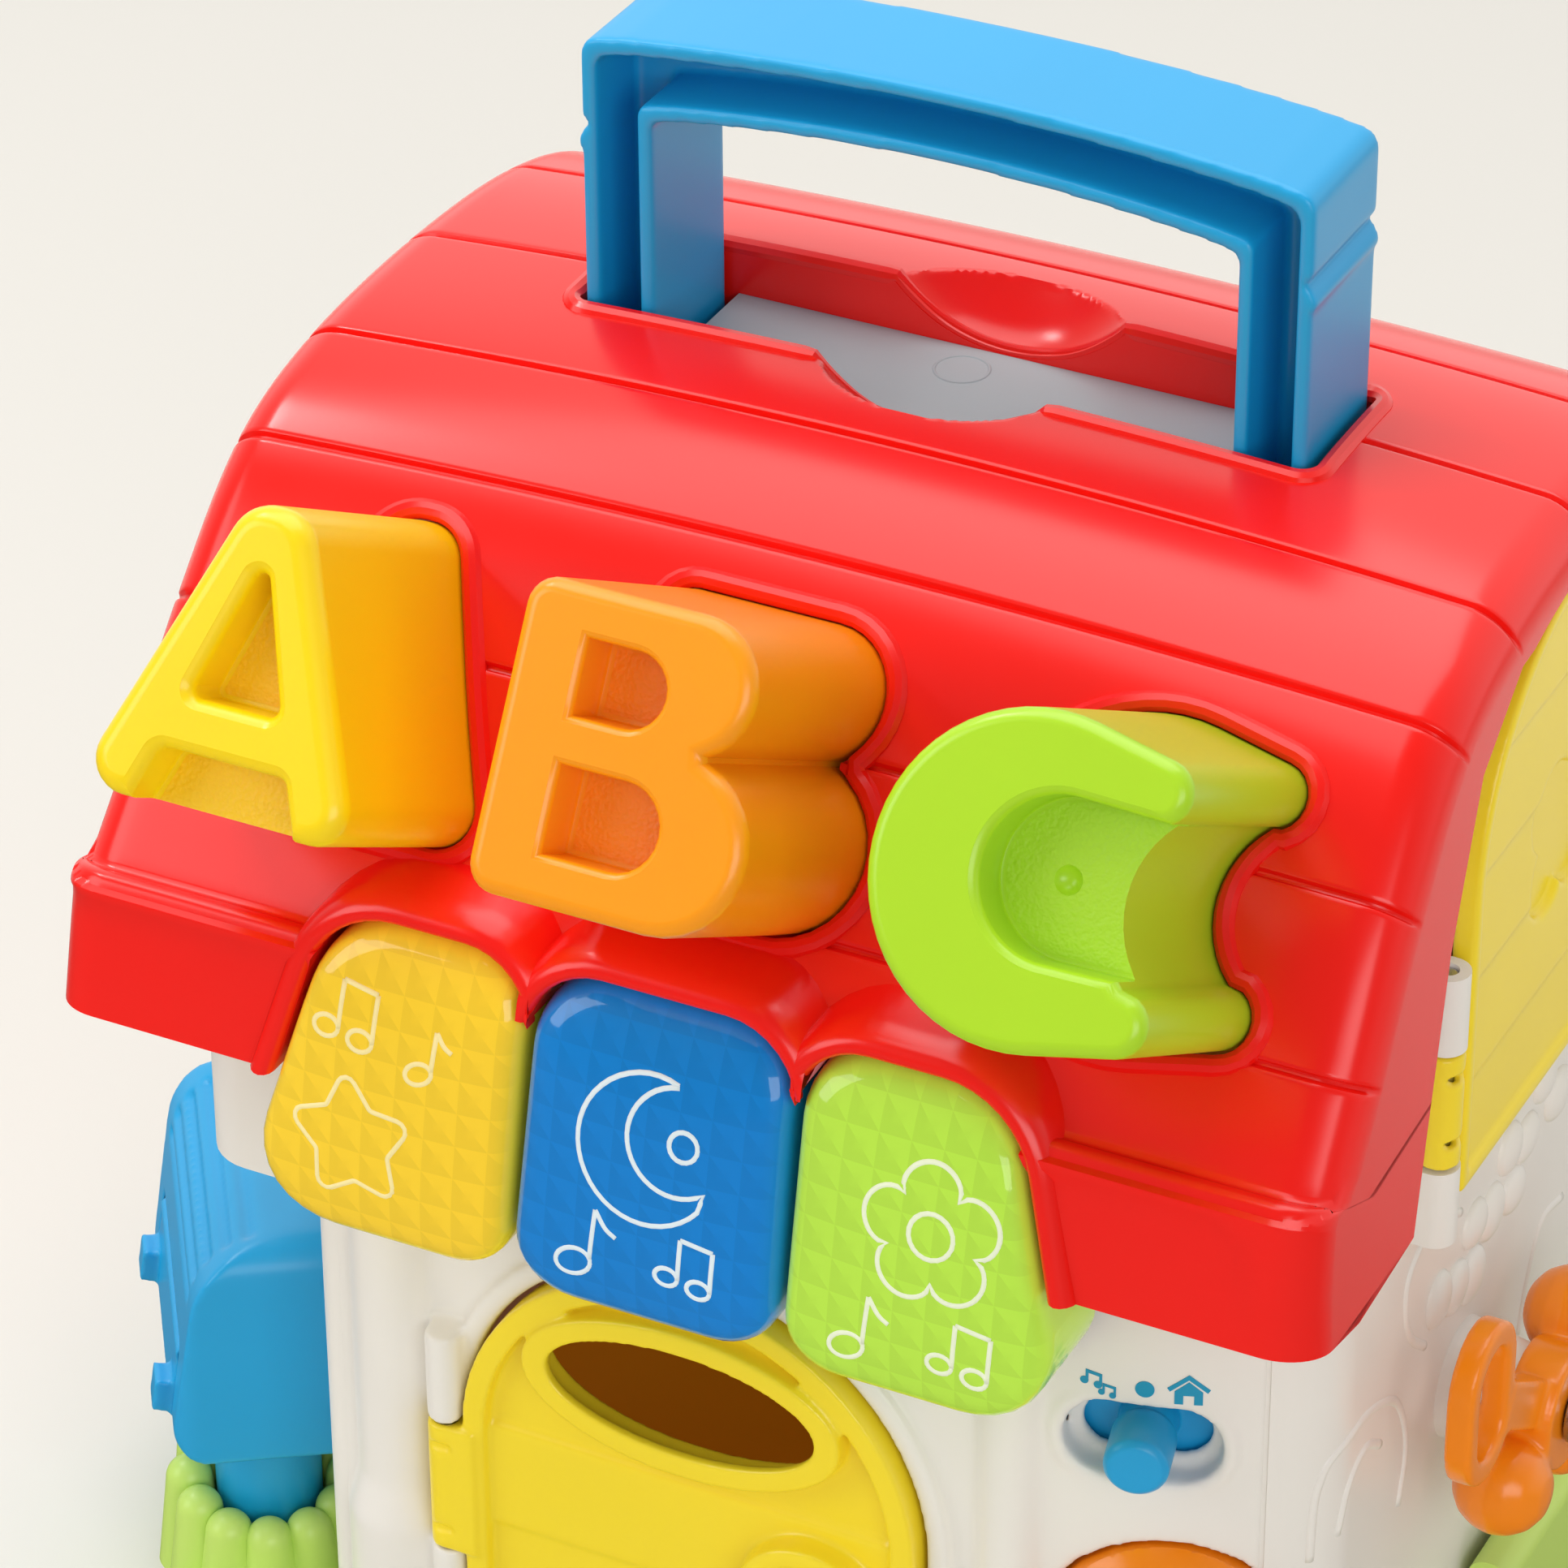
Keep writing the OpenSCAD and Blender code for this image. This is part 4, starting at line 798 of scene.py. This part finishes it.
KEYS = [
    (-1, -45.0, "key_left", "#F9D02E"),
    (0, 0.0, "key_middle", "#007FD2"),
    (1, 45.0, "key_right", "#B9E84A"),
]
for i, mid, node, colour in KEYS:
    finish = clear_key(node + "_clear_plastic", colour)
    cap = show(node + "_cap", key_sheet(i, mid), node, finish, corner=50)
    print(node, len(cap.data.polygons), "faces")

# %% [markdown]
# ## Letter blocks
# The blocks are hollow mouldings with softly rounded faces and pockets that show the letter's form.
# The pocket floors have the sandy finish of a blasted mould. Each block is lofted from its outline:
# straight sides, then rings that shrink along a quarter circle. The pockets are cut with flared plugs.


# %% blocks
def quarter(radius, sign):
    """Pairs of growth and height along a rounded edge of this radius."""
    turns = [pi / 12 * k for k in range(7)]
    return [(sign * radius * (1 - cos(a)), radius * sin(a) - radius) for a in turns]


FACE, FLOOR, BACK, BLOCK_WALL = 46.0, 37.0, -16.0, 2.4


def block(outline, place, radius):
    """A letter block with a rounded face and a small chamfer round its back."""
    levels = [(-0.9, BACK), (0.0, BACK + 1)] + [(g, FACE + h) for g, h in quarter(radius, -1)]
    return loft(outline, place, levels)


def pocket(outline, place, radius):
    """The plug that cuts a pocket: a flat floor, straight walls and a flared rim."""
    flare = [(g, FACE + h) for g, h in quarter(radius, 1)[:6]]
    levels = [(-0.9, FLOOR), (-0.25, FLOOR + 0.25), (0.0, FLOOR + 0.9)] + flare
    return loft(outline, place, levels + [(flare[-1][0] + 0.5, FACE + 0.6)])


# %% pockets of each letter
A_EYE = rounded([(-7.6, -7.4), (7.6, -7.4), (0, 15)], [1.5, 1.5, 1.2])
A_FOOT = rounded([(-16, -30), (16, -30), (10.4, -15.4), (-10.4, -15.4)], [1, 1, 2, 2])
B_HIGH = [Vector((-9.5, 15.2)), Vector((-9.5, 4))] + arc((-1.6, 9.6), 5.6, -90, 90, 12)
B_LOW = [Vector((-9.5, -3)), Vector((-9.5, -16))] + arc((1, -9.5), 6.5, -90, 90, 12)
C_BOWL = arc((4.9, -0.8), 11.7, 92, 268, 24) + [Vector((27, -12)), Vector((27, 10.2))]
BLOCKS = [
    ("letter_a", 3.3, 2.2, [A_EYE, A_FOOT]),
    ("letter_b", 2.4, 1.3, [B_HIGH, B_LOW]),
    ("letter_c", 2.2, 1.6, [C_BOWL]),
]
SANDY = {
    "letter_a": plastic("yellow_blasted_abs", "#FCCB0A", 0.5, 0.3, glow=0.3),
    "letter_b": plastic("orange_blasted_abs", "#FB930E", 0.5, 0.3, glow=0.3),
    "letter_c": plastic("green_blasted_abs", "#AEDA26", 0.5, 0.3),
}


def dimple(place):
    """The small round dip that the mould's gate leaves in a pocket floor."""
    work = bmesh.new()
    bmesh.ops.create_uvsphere(work, u_segments=24, v_segments=12, radius=2.4 * MM)
    bmesh.ops.translate(work, verts=work.verts, vec=Vector(place((3.4, -1.2), FLOOR + 1.1)) * MM)
    return work


# %% make the three blocks
for (x, letter), (node, radius, rim, pockets) in zip(LETTERS, BLOCKS):
    place, outline = on_letter(x), evenly(letter(0.0), 3.0)
    shown = show(node + "_block", block(outline, place, radius), node)
    cut(shown, slab(grown(outline, -BLOCK_WALL), place, BACK - 1, FLOOR - BLOCK_WALL))
    for drawn in pockets:
        cut(shown, pocket(evenly(drawn, 3.0), place, rim))
    if node == "letter_c":
        cut(shown, dimple(place))
    axis = (Vector(place((0, 0), 1)) - Vector(place((0, 0), 0))).normalized()
    low = Vector(place((0, 0), FLOOR)).dot(axis)
    shown.data.materials.clear()
    for finish in (FINISH[SLOT_OF[node]], SANDY[node]):
        shown.data.materials.append(finish)
    for face in shown.data.polygons:
        face.material_index = 1 if abs(face.center.dot(axis) / MM - low) < 0.05 else 0
    shown.data.shade_smooth()
    shown.data.set_sharp_from_angle(angle=radians(40))
    shown.modifiers.new("even shading", "WEIGHTED_NORMAL").keep_sharp = True
    print(node, len(shown.data.polygons), "faces")

# %% [markdown]
# ## Prints on the keys
# Each key carries a line print: music notes beside a star, a moon or a flower. The white ink is thin,
# so it takes a little of the key's colour. It is laid on as a line not quite a millimetre wide that
# stands up by less than two tenths.

# %% ink and lines
INKS = {
    "key_left": plastic("ink_on_yellow", "#FBE9A4", 0.45),
    "key_middle": plastic("ink_on_blue", "#E2F0F8", 0.45),
    "key_right": plastic("ink_on_green", "#EEF6D8", 0.45),
}
INK_WIDE = 0.78


def ink_line(mid, points, closed):
    """A printed line on the key at mid, drawn in millimetres from the middle of its face."""
    flat = [Vector((mid + x, KEY_MID + z)) for x, z in points]
    path = [Vector((p.x, pillow(mid, p.x, p.y) + 0.55 * INK_WIDE, p.y)) for p in flat]
    radii = [0.75 * INK_WIDE] * len(path)
    if not closed:
        path, radii = [path[0]] + path + [path[-1]], [0.0] + radii + [0.0]
    return bead(path, radii, closed, 12)


def smooth_line(points):
    """A soft curve through a few points, with six steps between them."""
    knots = [Vector(p) for p in points]
    spans = range(len(knots) - 1)
    return [through(knots, k, t / 6) for k in spans for t in range(6)] + [knots[-1]]


# %% music notes
def note(x, z, size):
    """A single note: a tilted round head, a stem and a flag."""
    head = [(x + size * (0.3 * cos(a) - 0.06 * sin(a)), z + size * (0.22 * sin(a) + 0.1 * cos(a)))
            for a in [2 * pi * k / 24 for k in range(24)]]
    stem = [(x + 0.29 * size, z + 0.12 * size), (x + 0.36 * size, z + 1.0 * size)]
    flag = [stem[1], (x + 0.55 * size, z + 0.74 * size), (x + 0.74 * size, z + 0.62 * size)]
    return [(head, True), (smooth_line(stem), False), (smooth_line(flag), False)]


def pair_of_notes(x, z, size):
    """Two notes joined by a beam."""
    lines = []
    for k in (0, 1):
        at_x, at_z = x + 0.62 * size * k, z - 0.1 * size * k
        head = [(at_x + size * 0.22 * cos(a), at_z + size * 0.17 * sin(a))
                for a in [2 * pi * n / 20 for n in range(20)]]
        stem = [(at_x + 0.22 * size, at_z), (at_x + 0.24 * size, at_z + 0.78 * size)]
        lines += [(head, True), (smooth_line(stem), False)]
    beam = [(x + 0.24 * size, z + 0.78 * size), (x + 0.86 * size, z + 0.68 * size)]
    return lines + [(smooth_line(beam), False)]


# %% star, moon and flower
def star(x, z, size):
    """A plump five-pointed star."""
    tips = [(size if k % 2 == 0 else 0.56 * size, 90 + 36 * k + 8) for k in range(10)]
    corners = [Vector((x + r * cos(radians(a)), z + r * sin(radians(a)))) for r, a in tips]
    return [(evenly(rounded(corners, [1.6, 1.0] * 5, 4), 1.5), True)]


def moon(x, z, size):
    """A crescent, open to the upper right, with a small ring in its lap."""
    outer = arc((x, z), size, 70, 320, 30)
    inner = arc((x + 0.42 * size, z + 0.2 * size), 0.72 * size, 305, 96, 24)
    ring = arc((x + 0.5 * size, z + 0.18 * size), 0.2 * size, 0, 345, 18)
    return [(evenly(outer + inner, 1.5), True), (ring, True)]


def flower(x, z, size):
    """Five round petals about a ring."""
    turns = [2 * pi * k / 90 for k in range(90)]
    petals = [(size * (0.66 + 0.34 * abs(cos(2.5 * a)) ** 0.6), a + 0.4) for a in turns]
    heart = arc((x, z), 0.32 * size, 0, 345, 20)
    return [([(x + r * cos(a), z + r * sin(a)) for r, a in petals], True), (heart, True)]


PRINTS = [
    star(-3.5, -7.5, 11.5) + pair_of_notes(-9.0, 9.5, 9.5) + note(7.0, 6.0, 7.0),
    moon(0.5, 4.5, 11.5) + note(-10.5, -16.5, 9.5) + pair_of_notes(5.0, -14.5, 8.5),
    flower(1.5, 4.0, 11.0) + note(-10.5, -17.0, 9.0) + pair_of_notes(4.5, -15.5, 9.0),
]
for (_, mid, node, _), drawn in zip(KEYS, PRINTS):
    for count, (points, closed) in enumerate(drawn):
        work = ink_line(mid, points, closed)
        show("%s_print_%d" % (node, count), work, node, INKS[node], corner=180)
print("prints:", sum(len(drawn) for drawn in PRINTS), "lines")

# %% [markdown]
# ## Softly rounded pieces
# The handle, the doors, the front wall, the switch, the mailbox and the spinner have no sharp edge at
# all, and their corners run into each other in ways a bevel can't follow. Their solids are turned into
# a fine even mesh, which is then relaxed until the corners have the soft radius of the moulding. The
# grain is chosen so that no piece has more than 200,000 triangles.


# %% relax a solid
def soften(node, grain, rounds, *plugs):
    """Show a solid, less some plugs, as an even mesh of this grain, relaxed over some rounds."""
    shown = show(node + "_soft", bare(node), node, corner=180)
    cut(shown, *plugs)
    fine = shown.modifiers.new("even mesh", "REMESH")
    fine.mode = "VOXEL"
    fine.voxel_size = grain * MM
    calm = shown.modifiers.new("relaxed", "SMOOTH")
    calm.factor = 0.5
    calm.iterations = rounds
    settle(shown)
    shown.data.shade_smooth()
    print(node, len(shown.data.polygons), "faces")


SOFT = {
    "spinner": (0.5, 14),
    "handle": (0.58, 12),
    "gable_door": (0.42, 12),
    "front_wall": (0.62, 12),
    "switch_slider": (0.3, 8),
    "mailbox": (0.52, 14),
    "mailbox_flap": (0.4, 14),
}
for node, (grain, rounds) in SOFT.items():
    soften(node, grain, rounds)

# %% [markdown]
# The front door is a thin moulding: behind its rim the oval window widens.

# %% front door
oval = [Vector((-2.3 + 23 * cos(a), 86.6 + 9.5 * sin(a))) for a in [2 * pi * k / 60 for k in range(60)]]
flare = [(3.2, -86), (3.2, -92.6), (1.2, -94.0), (-0.2, -94.6)]
soften("front_door", 0.45, 12, loft(oval, front_view, flare))

# %% [markdown]
# ## Marks by the switch
# Three teal marks are printed above the switch, on the rounded corner of the front wall: notes for
# songs, a dot for off and a little house for play.


# %% marks
TEAL = plastic("teal_ink", "#0B97C0", 0.45)
CORNER_X, CORNER_Y, CORNER_R = 56, -30, 60


def on_arc(radius, turn):
    """A point of the top view on an arc about the middle of the wall's rounded corner."""
    return Vector((CORNER_X + radius * sin(turn), CORNER_Y - radius * cos(turn)))


def on_corner(u, v):
    """Place a flat drawing on the rounded corner of the wall, above the switch."""

    def place(point, out):
        turn = radians(14.5) + (u + point[0]) / CORNER_R
        return *on_arc(CORNER_R + out, turn), v + point[1]

    return place


hut_roof = [(-3.2, 0.1), (-2.8, -0.5), (0, 1.8), (2.8, -0.5), (3.2, 0.1), (0, 2.7)]
hut = [(-2.1, -0.4), (0, 1.4), (2.1, -0.4), (2.1, -2.7), (0.8, -2.7), (0.8, -1.1)]
hut += [(-0.8, -1.1), (-0.8, -2.7), (-2.1, -2.7)]
MARKS = [(6.7, 110.0, hut_roof), (6.7, 110.0, hut), (0.2, 109.4, arc((0, 0), 1.45, 0, 345, 23))]
for u, v, size in ((-7.6, 110.3, 0.62), (-5.2, 108.5, 0.5)):
    heads = [arc((x * size, z * size), 1.05 * size, 0, 340, 17) for x, z in ((-2.2, -1.6), (1.2, -2.3))]
    stems = [[(-1.9, -1.6), (-1.2, -1.6), (-1.2, 1.6), (-1.9, 1.6)]]
    stems += [[(1.5, -2.3), (2.2, -2.3), (2.2, 0.9), (1.5, 0.9)]]
    stems += [[(-1.9, 1.7), (2.2, 0.9), (2.2, 0.0), (-1.9, 0.8)]]
    MARKS += [(u, v, head) for head in heads]
    MARKS += [(u, v, [(x * size, z * size) for x, z in stem]) for stem in stems]
for count, (u, v, drawing) in enumerate(MARKS):
    show("switch_mark_%d" % count, slab(drawing, on_corner(u, v), -0.2, 0.12), "front_wall", TEAL)

# %% [markdown]
# ## Relief on the right wall
# The right corner of the house carries a low relief: the outlines of a leaf and a bush, and a winding
# row of pebbles. The outlines are half-sunk beads and the pebbles are low domes.


# %% outlines on the wall
BEND_X, BEND_Y, BEND_R = 79, -66.3, 17


def on_side(s, z, out):
    """A point of the right wall: s runs along the plan from the end of the corner's curve."""
    turn, reach = min(0.0, s / BEND_R), BEND_R + out
    return Vector((BEND_X + reach * cos(turn), BEND_Y + reach * sin(turn) + max(0.0, s), z))


LEAF = [(-9.6, 76), (-9.4, 84), (-8.6, 89.5), (-5.4, 94), (4, 95), (15, 90.5)]
RELIEF = {
    "leaf": LEAF + [(20, 84), (22, 76), (20, 67)],
    "leaf_vein": [(-4, 78), (-1, 86), (5, 88.5), (11, 85)],
    "bush": [(28, 92), (22.4, 97), (19.2, 103), (19.2, 110), (25, 113.6), (33.5, 112.6), (40.5, 109)],
    "far_leaf": [(70, 66), (72.5, 74.5), (78, 83), (87, 82)],
}
for name, knots in RELIEF.items():
    path = [on_side(s, z, -0.6) for s, z in smooth_line(knots)]
    path = [path[0]] + path + [path[-1]]
    radii = [0.0] + [1.05] * (len(path) - 2) + [0.0]
    show("relief_" + name, bead(path, radii, False), "rear_shell", corner=180)


# %% pebbles
WALL_X, PEBBLE_HIGH, PEBBLE_SUNK = 95.9, 1.8, 0.8


def pebble(y, z, wide, tall):
    """A low dome on the wall, closed behind."""
    shares = [0.0, 0.25, 0.5, 0.7, 0.85, 0.95, 1.0, 1.0, 0.0]

    def place(column, row):
        turn, share = 2 * pi * column / 20, shares[row]
        out = PEBBLE_HIGH * sqrt(1 - share * share) if row < 7 else -PEBBLE_SUNK
        return WALL_X + out, y + wide * share * cos(turn), z + tall * share * sin(turn)

    return sheet(21, len(shares), place)


PEBBLES = [(-34 + 7 * k, 98 + 2.6 * k - 5 * (k % 2)) for k in range(7)]
PEBBLES += [(14.5, 106), (-3.5, 99), (-20, 93.5)]
for count, (y, z) in enumerate(PEBBLES):
    work = pebble(y, z, 4.7 + 0.5 * (count % 2), 5.0 - 0.4 * (count % 3))
    show("relief_pebble_%d" % count, work, "rear_shell", corner=60)
print("relief:", len(RELIEF), "lines and", len(PEBBLES), "pebbles")

# %% [markdown]
# ## Where the walls meet
# The two halves of the wall meet in a fine seam on the right corner. Behind it the rear shell has a
# tongue, so that no light comes through; it is parted to leave room for the bell. On the left a
# rounded post closes the corner. The grey plate in the ridge keeps the ring of its ejector pin. All
# of these are flat outlines carried upwards, or beads.

# %% seam tongue, corner post and ejector ring
WALL_FOOT, WALL_TOP = 10.6, 150
tongue = [on_arc(59.6, radians(a)) for a in (30.8, 31.4, 32, 32.6, 33.2)]
tongue += [on_arc(58.2, radians(a)) for a in (33.2, 32, 30.8)]
for name, low, high in (("seam_tongue_low", WALL_FOOT, 51), ("seam_tongue_high", 73, WALL_TOP)):
    show(name, slab(tongue, top_view, low, high), "rear_shell")
post = arc((-66, -86), 3.95, 180, 270, 10) + [Vector((-64.6, -89.95)), Vector((-64.6, -87.6))]
post += [Vector((-67.3, -86)), Vector((-67.3, -83)), Vector((-69.95, -83))]
show("corner_post", slab(post, top_view, WALL_FOOT, WALL_TOP), "rear_shell")
ring = [Vector((-4.6 + p.x, 6.3 + p.y, 215.1)) for p in arc((0, 0), 4.3, 0, 350, 35)]
show("ejector_ring", bead(ring, [0.28] * len(ring)), "handle_tray", corner=180)

# %% [markdown]
# ## Plain pieces
# The other pieces are shown as their solids with rolled edges. The sloped floor inside is amber, with a
# faint painted glow that stands in for the light soaking through the thin walls.

# %% dress the plain pieces
MADE = {"roof_shell", "front_door", *SOFT, *[key[2] for key in KEYS], *[entry[0] for entry in BLOCKS]}
plain = [node for node in sorted(frame["nodes"]) if node not in MADE]
for node in plain:
    dress(node, 0.4)
amber = plastic("amber_abs", "#E8A01C", 0.4)
painted_glow = amber.node_tree.nodes["Principled BSDF"].inputs
# painted glow: a faint emission on the inner floor stands in for light that comes through the thin walls
painted_glow["Emission Color"].default_value = linear("#B86A08")
painted_glow["Emission Strength"].default_value = 0.2
bpy.data.objects["inner_floor_moulded"].data.materials[0] = amber
print("plain pieces:", len(plain))

# %% [markdown]
# ## Studio
# A pale sweep under a large overhead softbox, with weaker fills from the left and the front, as in a
# catalogue picture. A small bright lamp high on the left draws the glints on the keys and the mailbox.
# In the gloss of the plastic the sweep is dark in front and pale behind, which models the round forms.

# %% floor and light
work = bmesh.new()
bmesh.ops.create_grid(work, x_segments=2, y_segments=2, size=6.0)
floor_mesh = bpy.data.meshes.new("sweep")
work.to_mesh(floor_mesh)
work.free()
sweep = bpy.data.objects.new("sweep", floor_mesh)
sweep.location.z = -0.5 * MM
bpy.context.scene.collection.objects.link(sweep)
paper = bpy.data.materials.new("pale_paper")
paper.use_nodes = True
tree = paper.node_tree
seen = put(tree, "ShaderNodeLightPath").node.outputs["Is Glossy Ray"]
spot = put(tree, "ShaderNodeTexCoord").node.outputs["Object"]
depth = put(tree, "ShaderNodeSeparateXYZ", sockets={"Vector": spot}).node.outputs["Y"]
span = {"Value": depth, "From Min": -0.05, "From Max": 0.35}
far = put(tree, "ShaderNodeMapRange", sockets=span)
tones = {0: far, 6: linear("#4A4845"), 7: linear("#F6F3EC")}
gloss = put(tree, "ShaderNodeMix", {"data_type": "RGBA"}, tones).node.outputs[2]
tones = {0: seen, 6: linear("#E4E1DA"), 7: gloss}
tone = put(tree, "ShaderNodeMix", {"data_type": "RGBA"}, tones).node.outputs[2]
matt = tree.nodes["Principled BSDF"].inputs
tree.links.new(tone, matt["Base Color"])
matt["Roughness"].default_value = 0.9
matt["Specular IOR Level"].default_value = 0.0
floor_mesh.materials.append(paper)

# %% [markdown]
# The room is pale for the eye and for the soft fill light. In the gloss of the plastic one sees more
# of it behind and above the toy than in front, where the camera stands in a darker part of the room.

# %% room
world = bpy.data.worlds.new("studio")
bpy.context.scene.world = world
world.use_nodes = True
room = world.node_tree
ray = put(room, "ShaderNodeLightPath").node.outputs["Is Glossy Ray"]
way = put(room, "ShaderNodeTexCoord").node.outputs["Generated"]
depth = put(room, "ShaderNodeSeparateXYZ", sockets={"Vector": way}).node.outputs["Y"]
span = {"Value": depth, "From Min": -0.3, "From Max": 0.7, "To Min": 0.04, "To Max": 1.3}
gloss = put(room, "ShaderNodeMapRange", sockets=span)
level = put(room, "ShaderNodeMix", {"data_type": "FLOAT"}, {0: ray, 2: 0.5, 3: gloss})
room.nodes["Background"].inputs["Color"].default_value = (1.0, 0.99, 0.97, 1.0)
room.links.new(level, room.nodes["Background"].inputs["Strength"])


def softbox(name, place, aim, size, power):
    """A rectangular lamp, hung at a place and aimed at a point, in metres."""
    lamp = bpy.data.lights.new(name, "AREA")
    lamp.shape = "RECTANGLE"
    lamp.size, lamp.size_y = size
    lamp.energy = power
    box = bpy.data.objects.new(name, lamp)
    box.location = place
    box.rotation_euler = (Vector(place) - Vector(aim)).to_track_quat("Z", "Y").to_euler()
    bpy.context.scene.collection.objects.link(box)


softbox("overhead", (-0.25, 0.15, 1.5), (0, 0, 0.15), (1.6, 1.2), 13)
softbox("left fill", (-1.2, -1.0, 0.9), (0, 0, 0.15), (0.9, 0.9), 7)
softbox("window", (-0.9, 0.0, 1.25), (0, -0.1, 0.14), (0.3, 0.16), 2.6)
softbox("front fill", (1.1, -1.3, 0.8), (0, 0, 0.15), (1.2, 0.8), 9)

# %% [markdown]
# ## Camera
# The photo looks down on the toy from its front right, through a long lens.

# %% camera
lens = bpy.data.cameras.new("camera")
lens.sensor_width = 36.0
lens.lens = 153.63
camera = bpy.data.objects.new("camera", lens)
camera.location = (0.38050, -0.81016, 0.70907)
camera.rotation_euler = (radians(57.769), radians(0.3238), radians(26.807))
bpy.context.scene.collection.objects.link(camera)
scene = bpy.context.scene
scene.camera = camera
scene.view_settings.view_transform = "Standard"
scene.render.resolution_x = 1932
scene.render.resolution_y = 1932
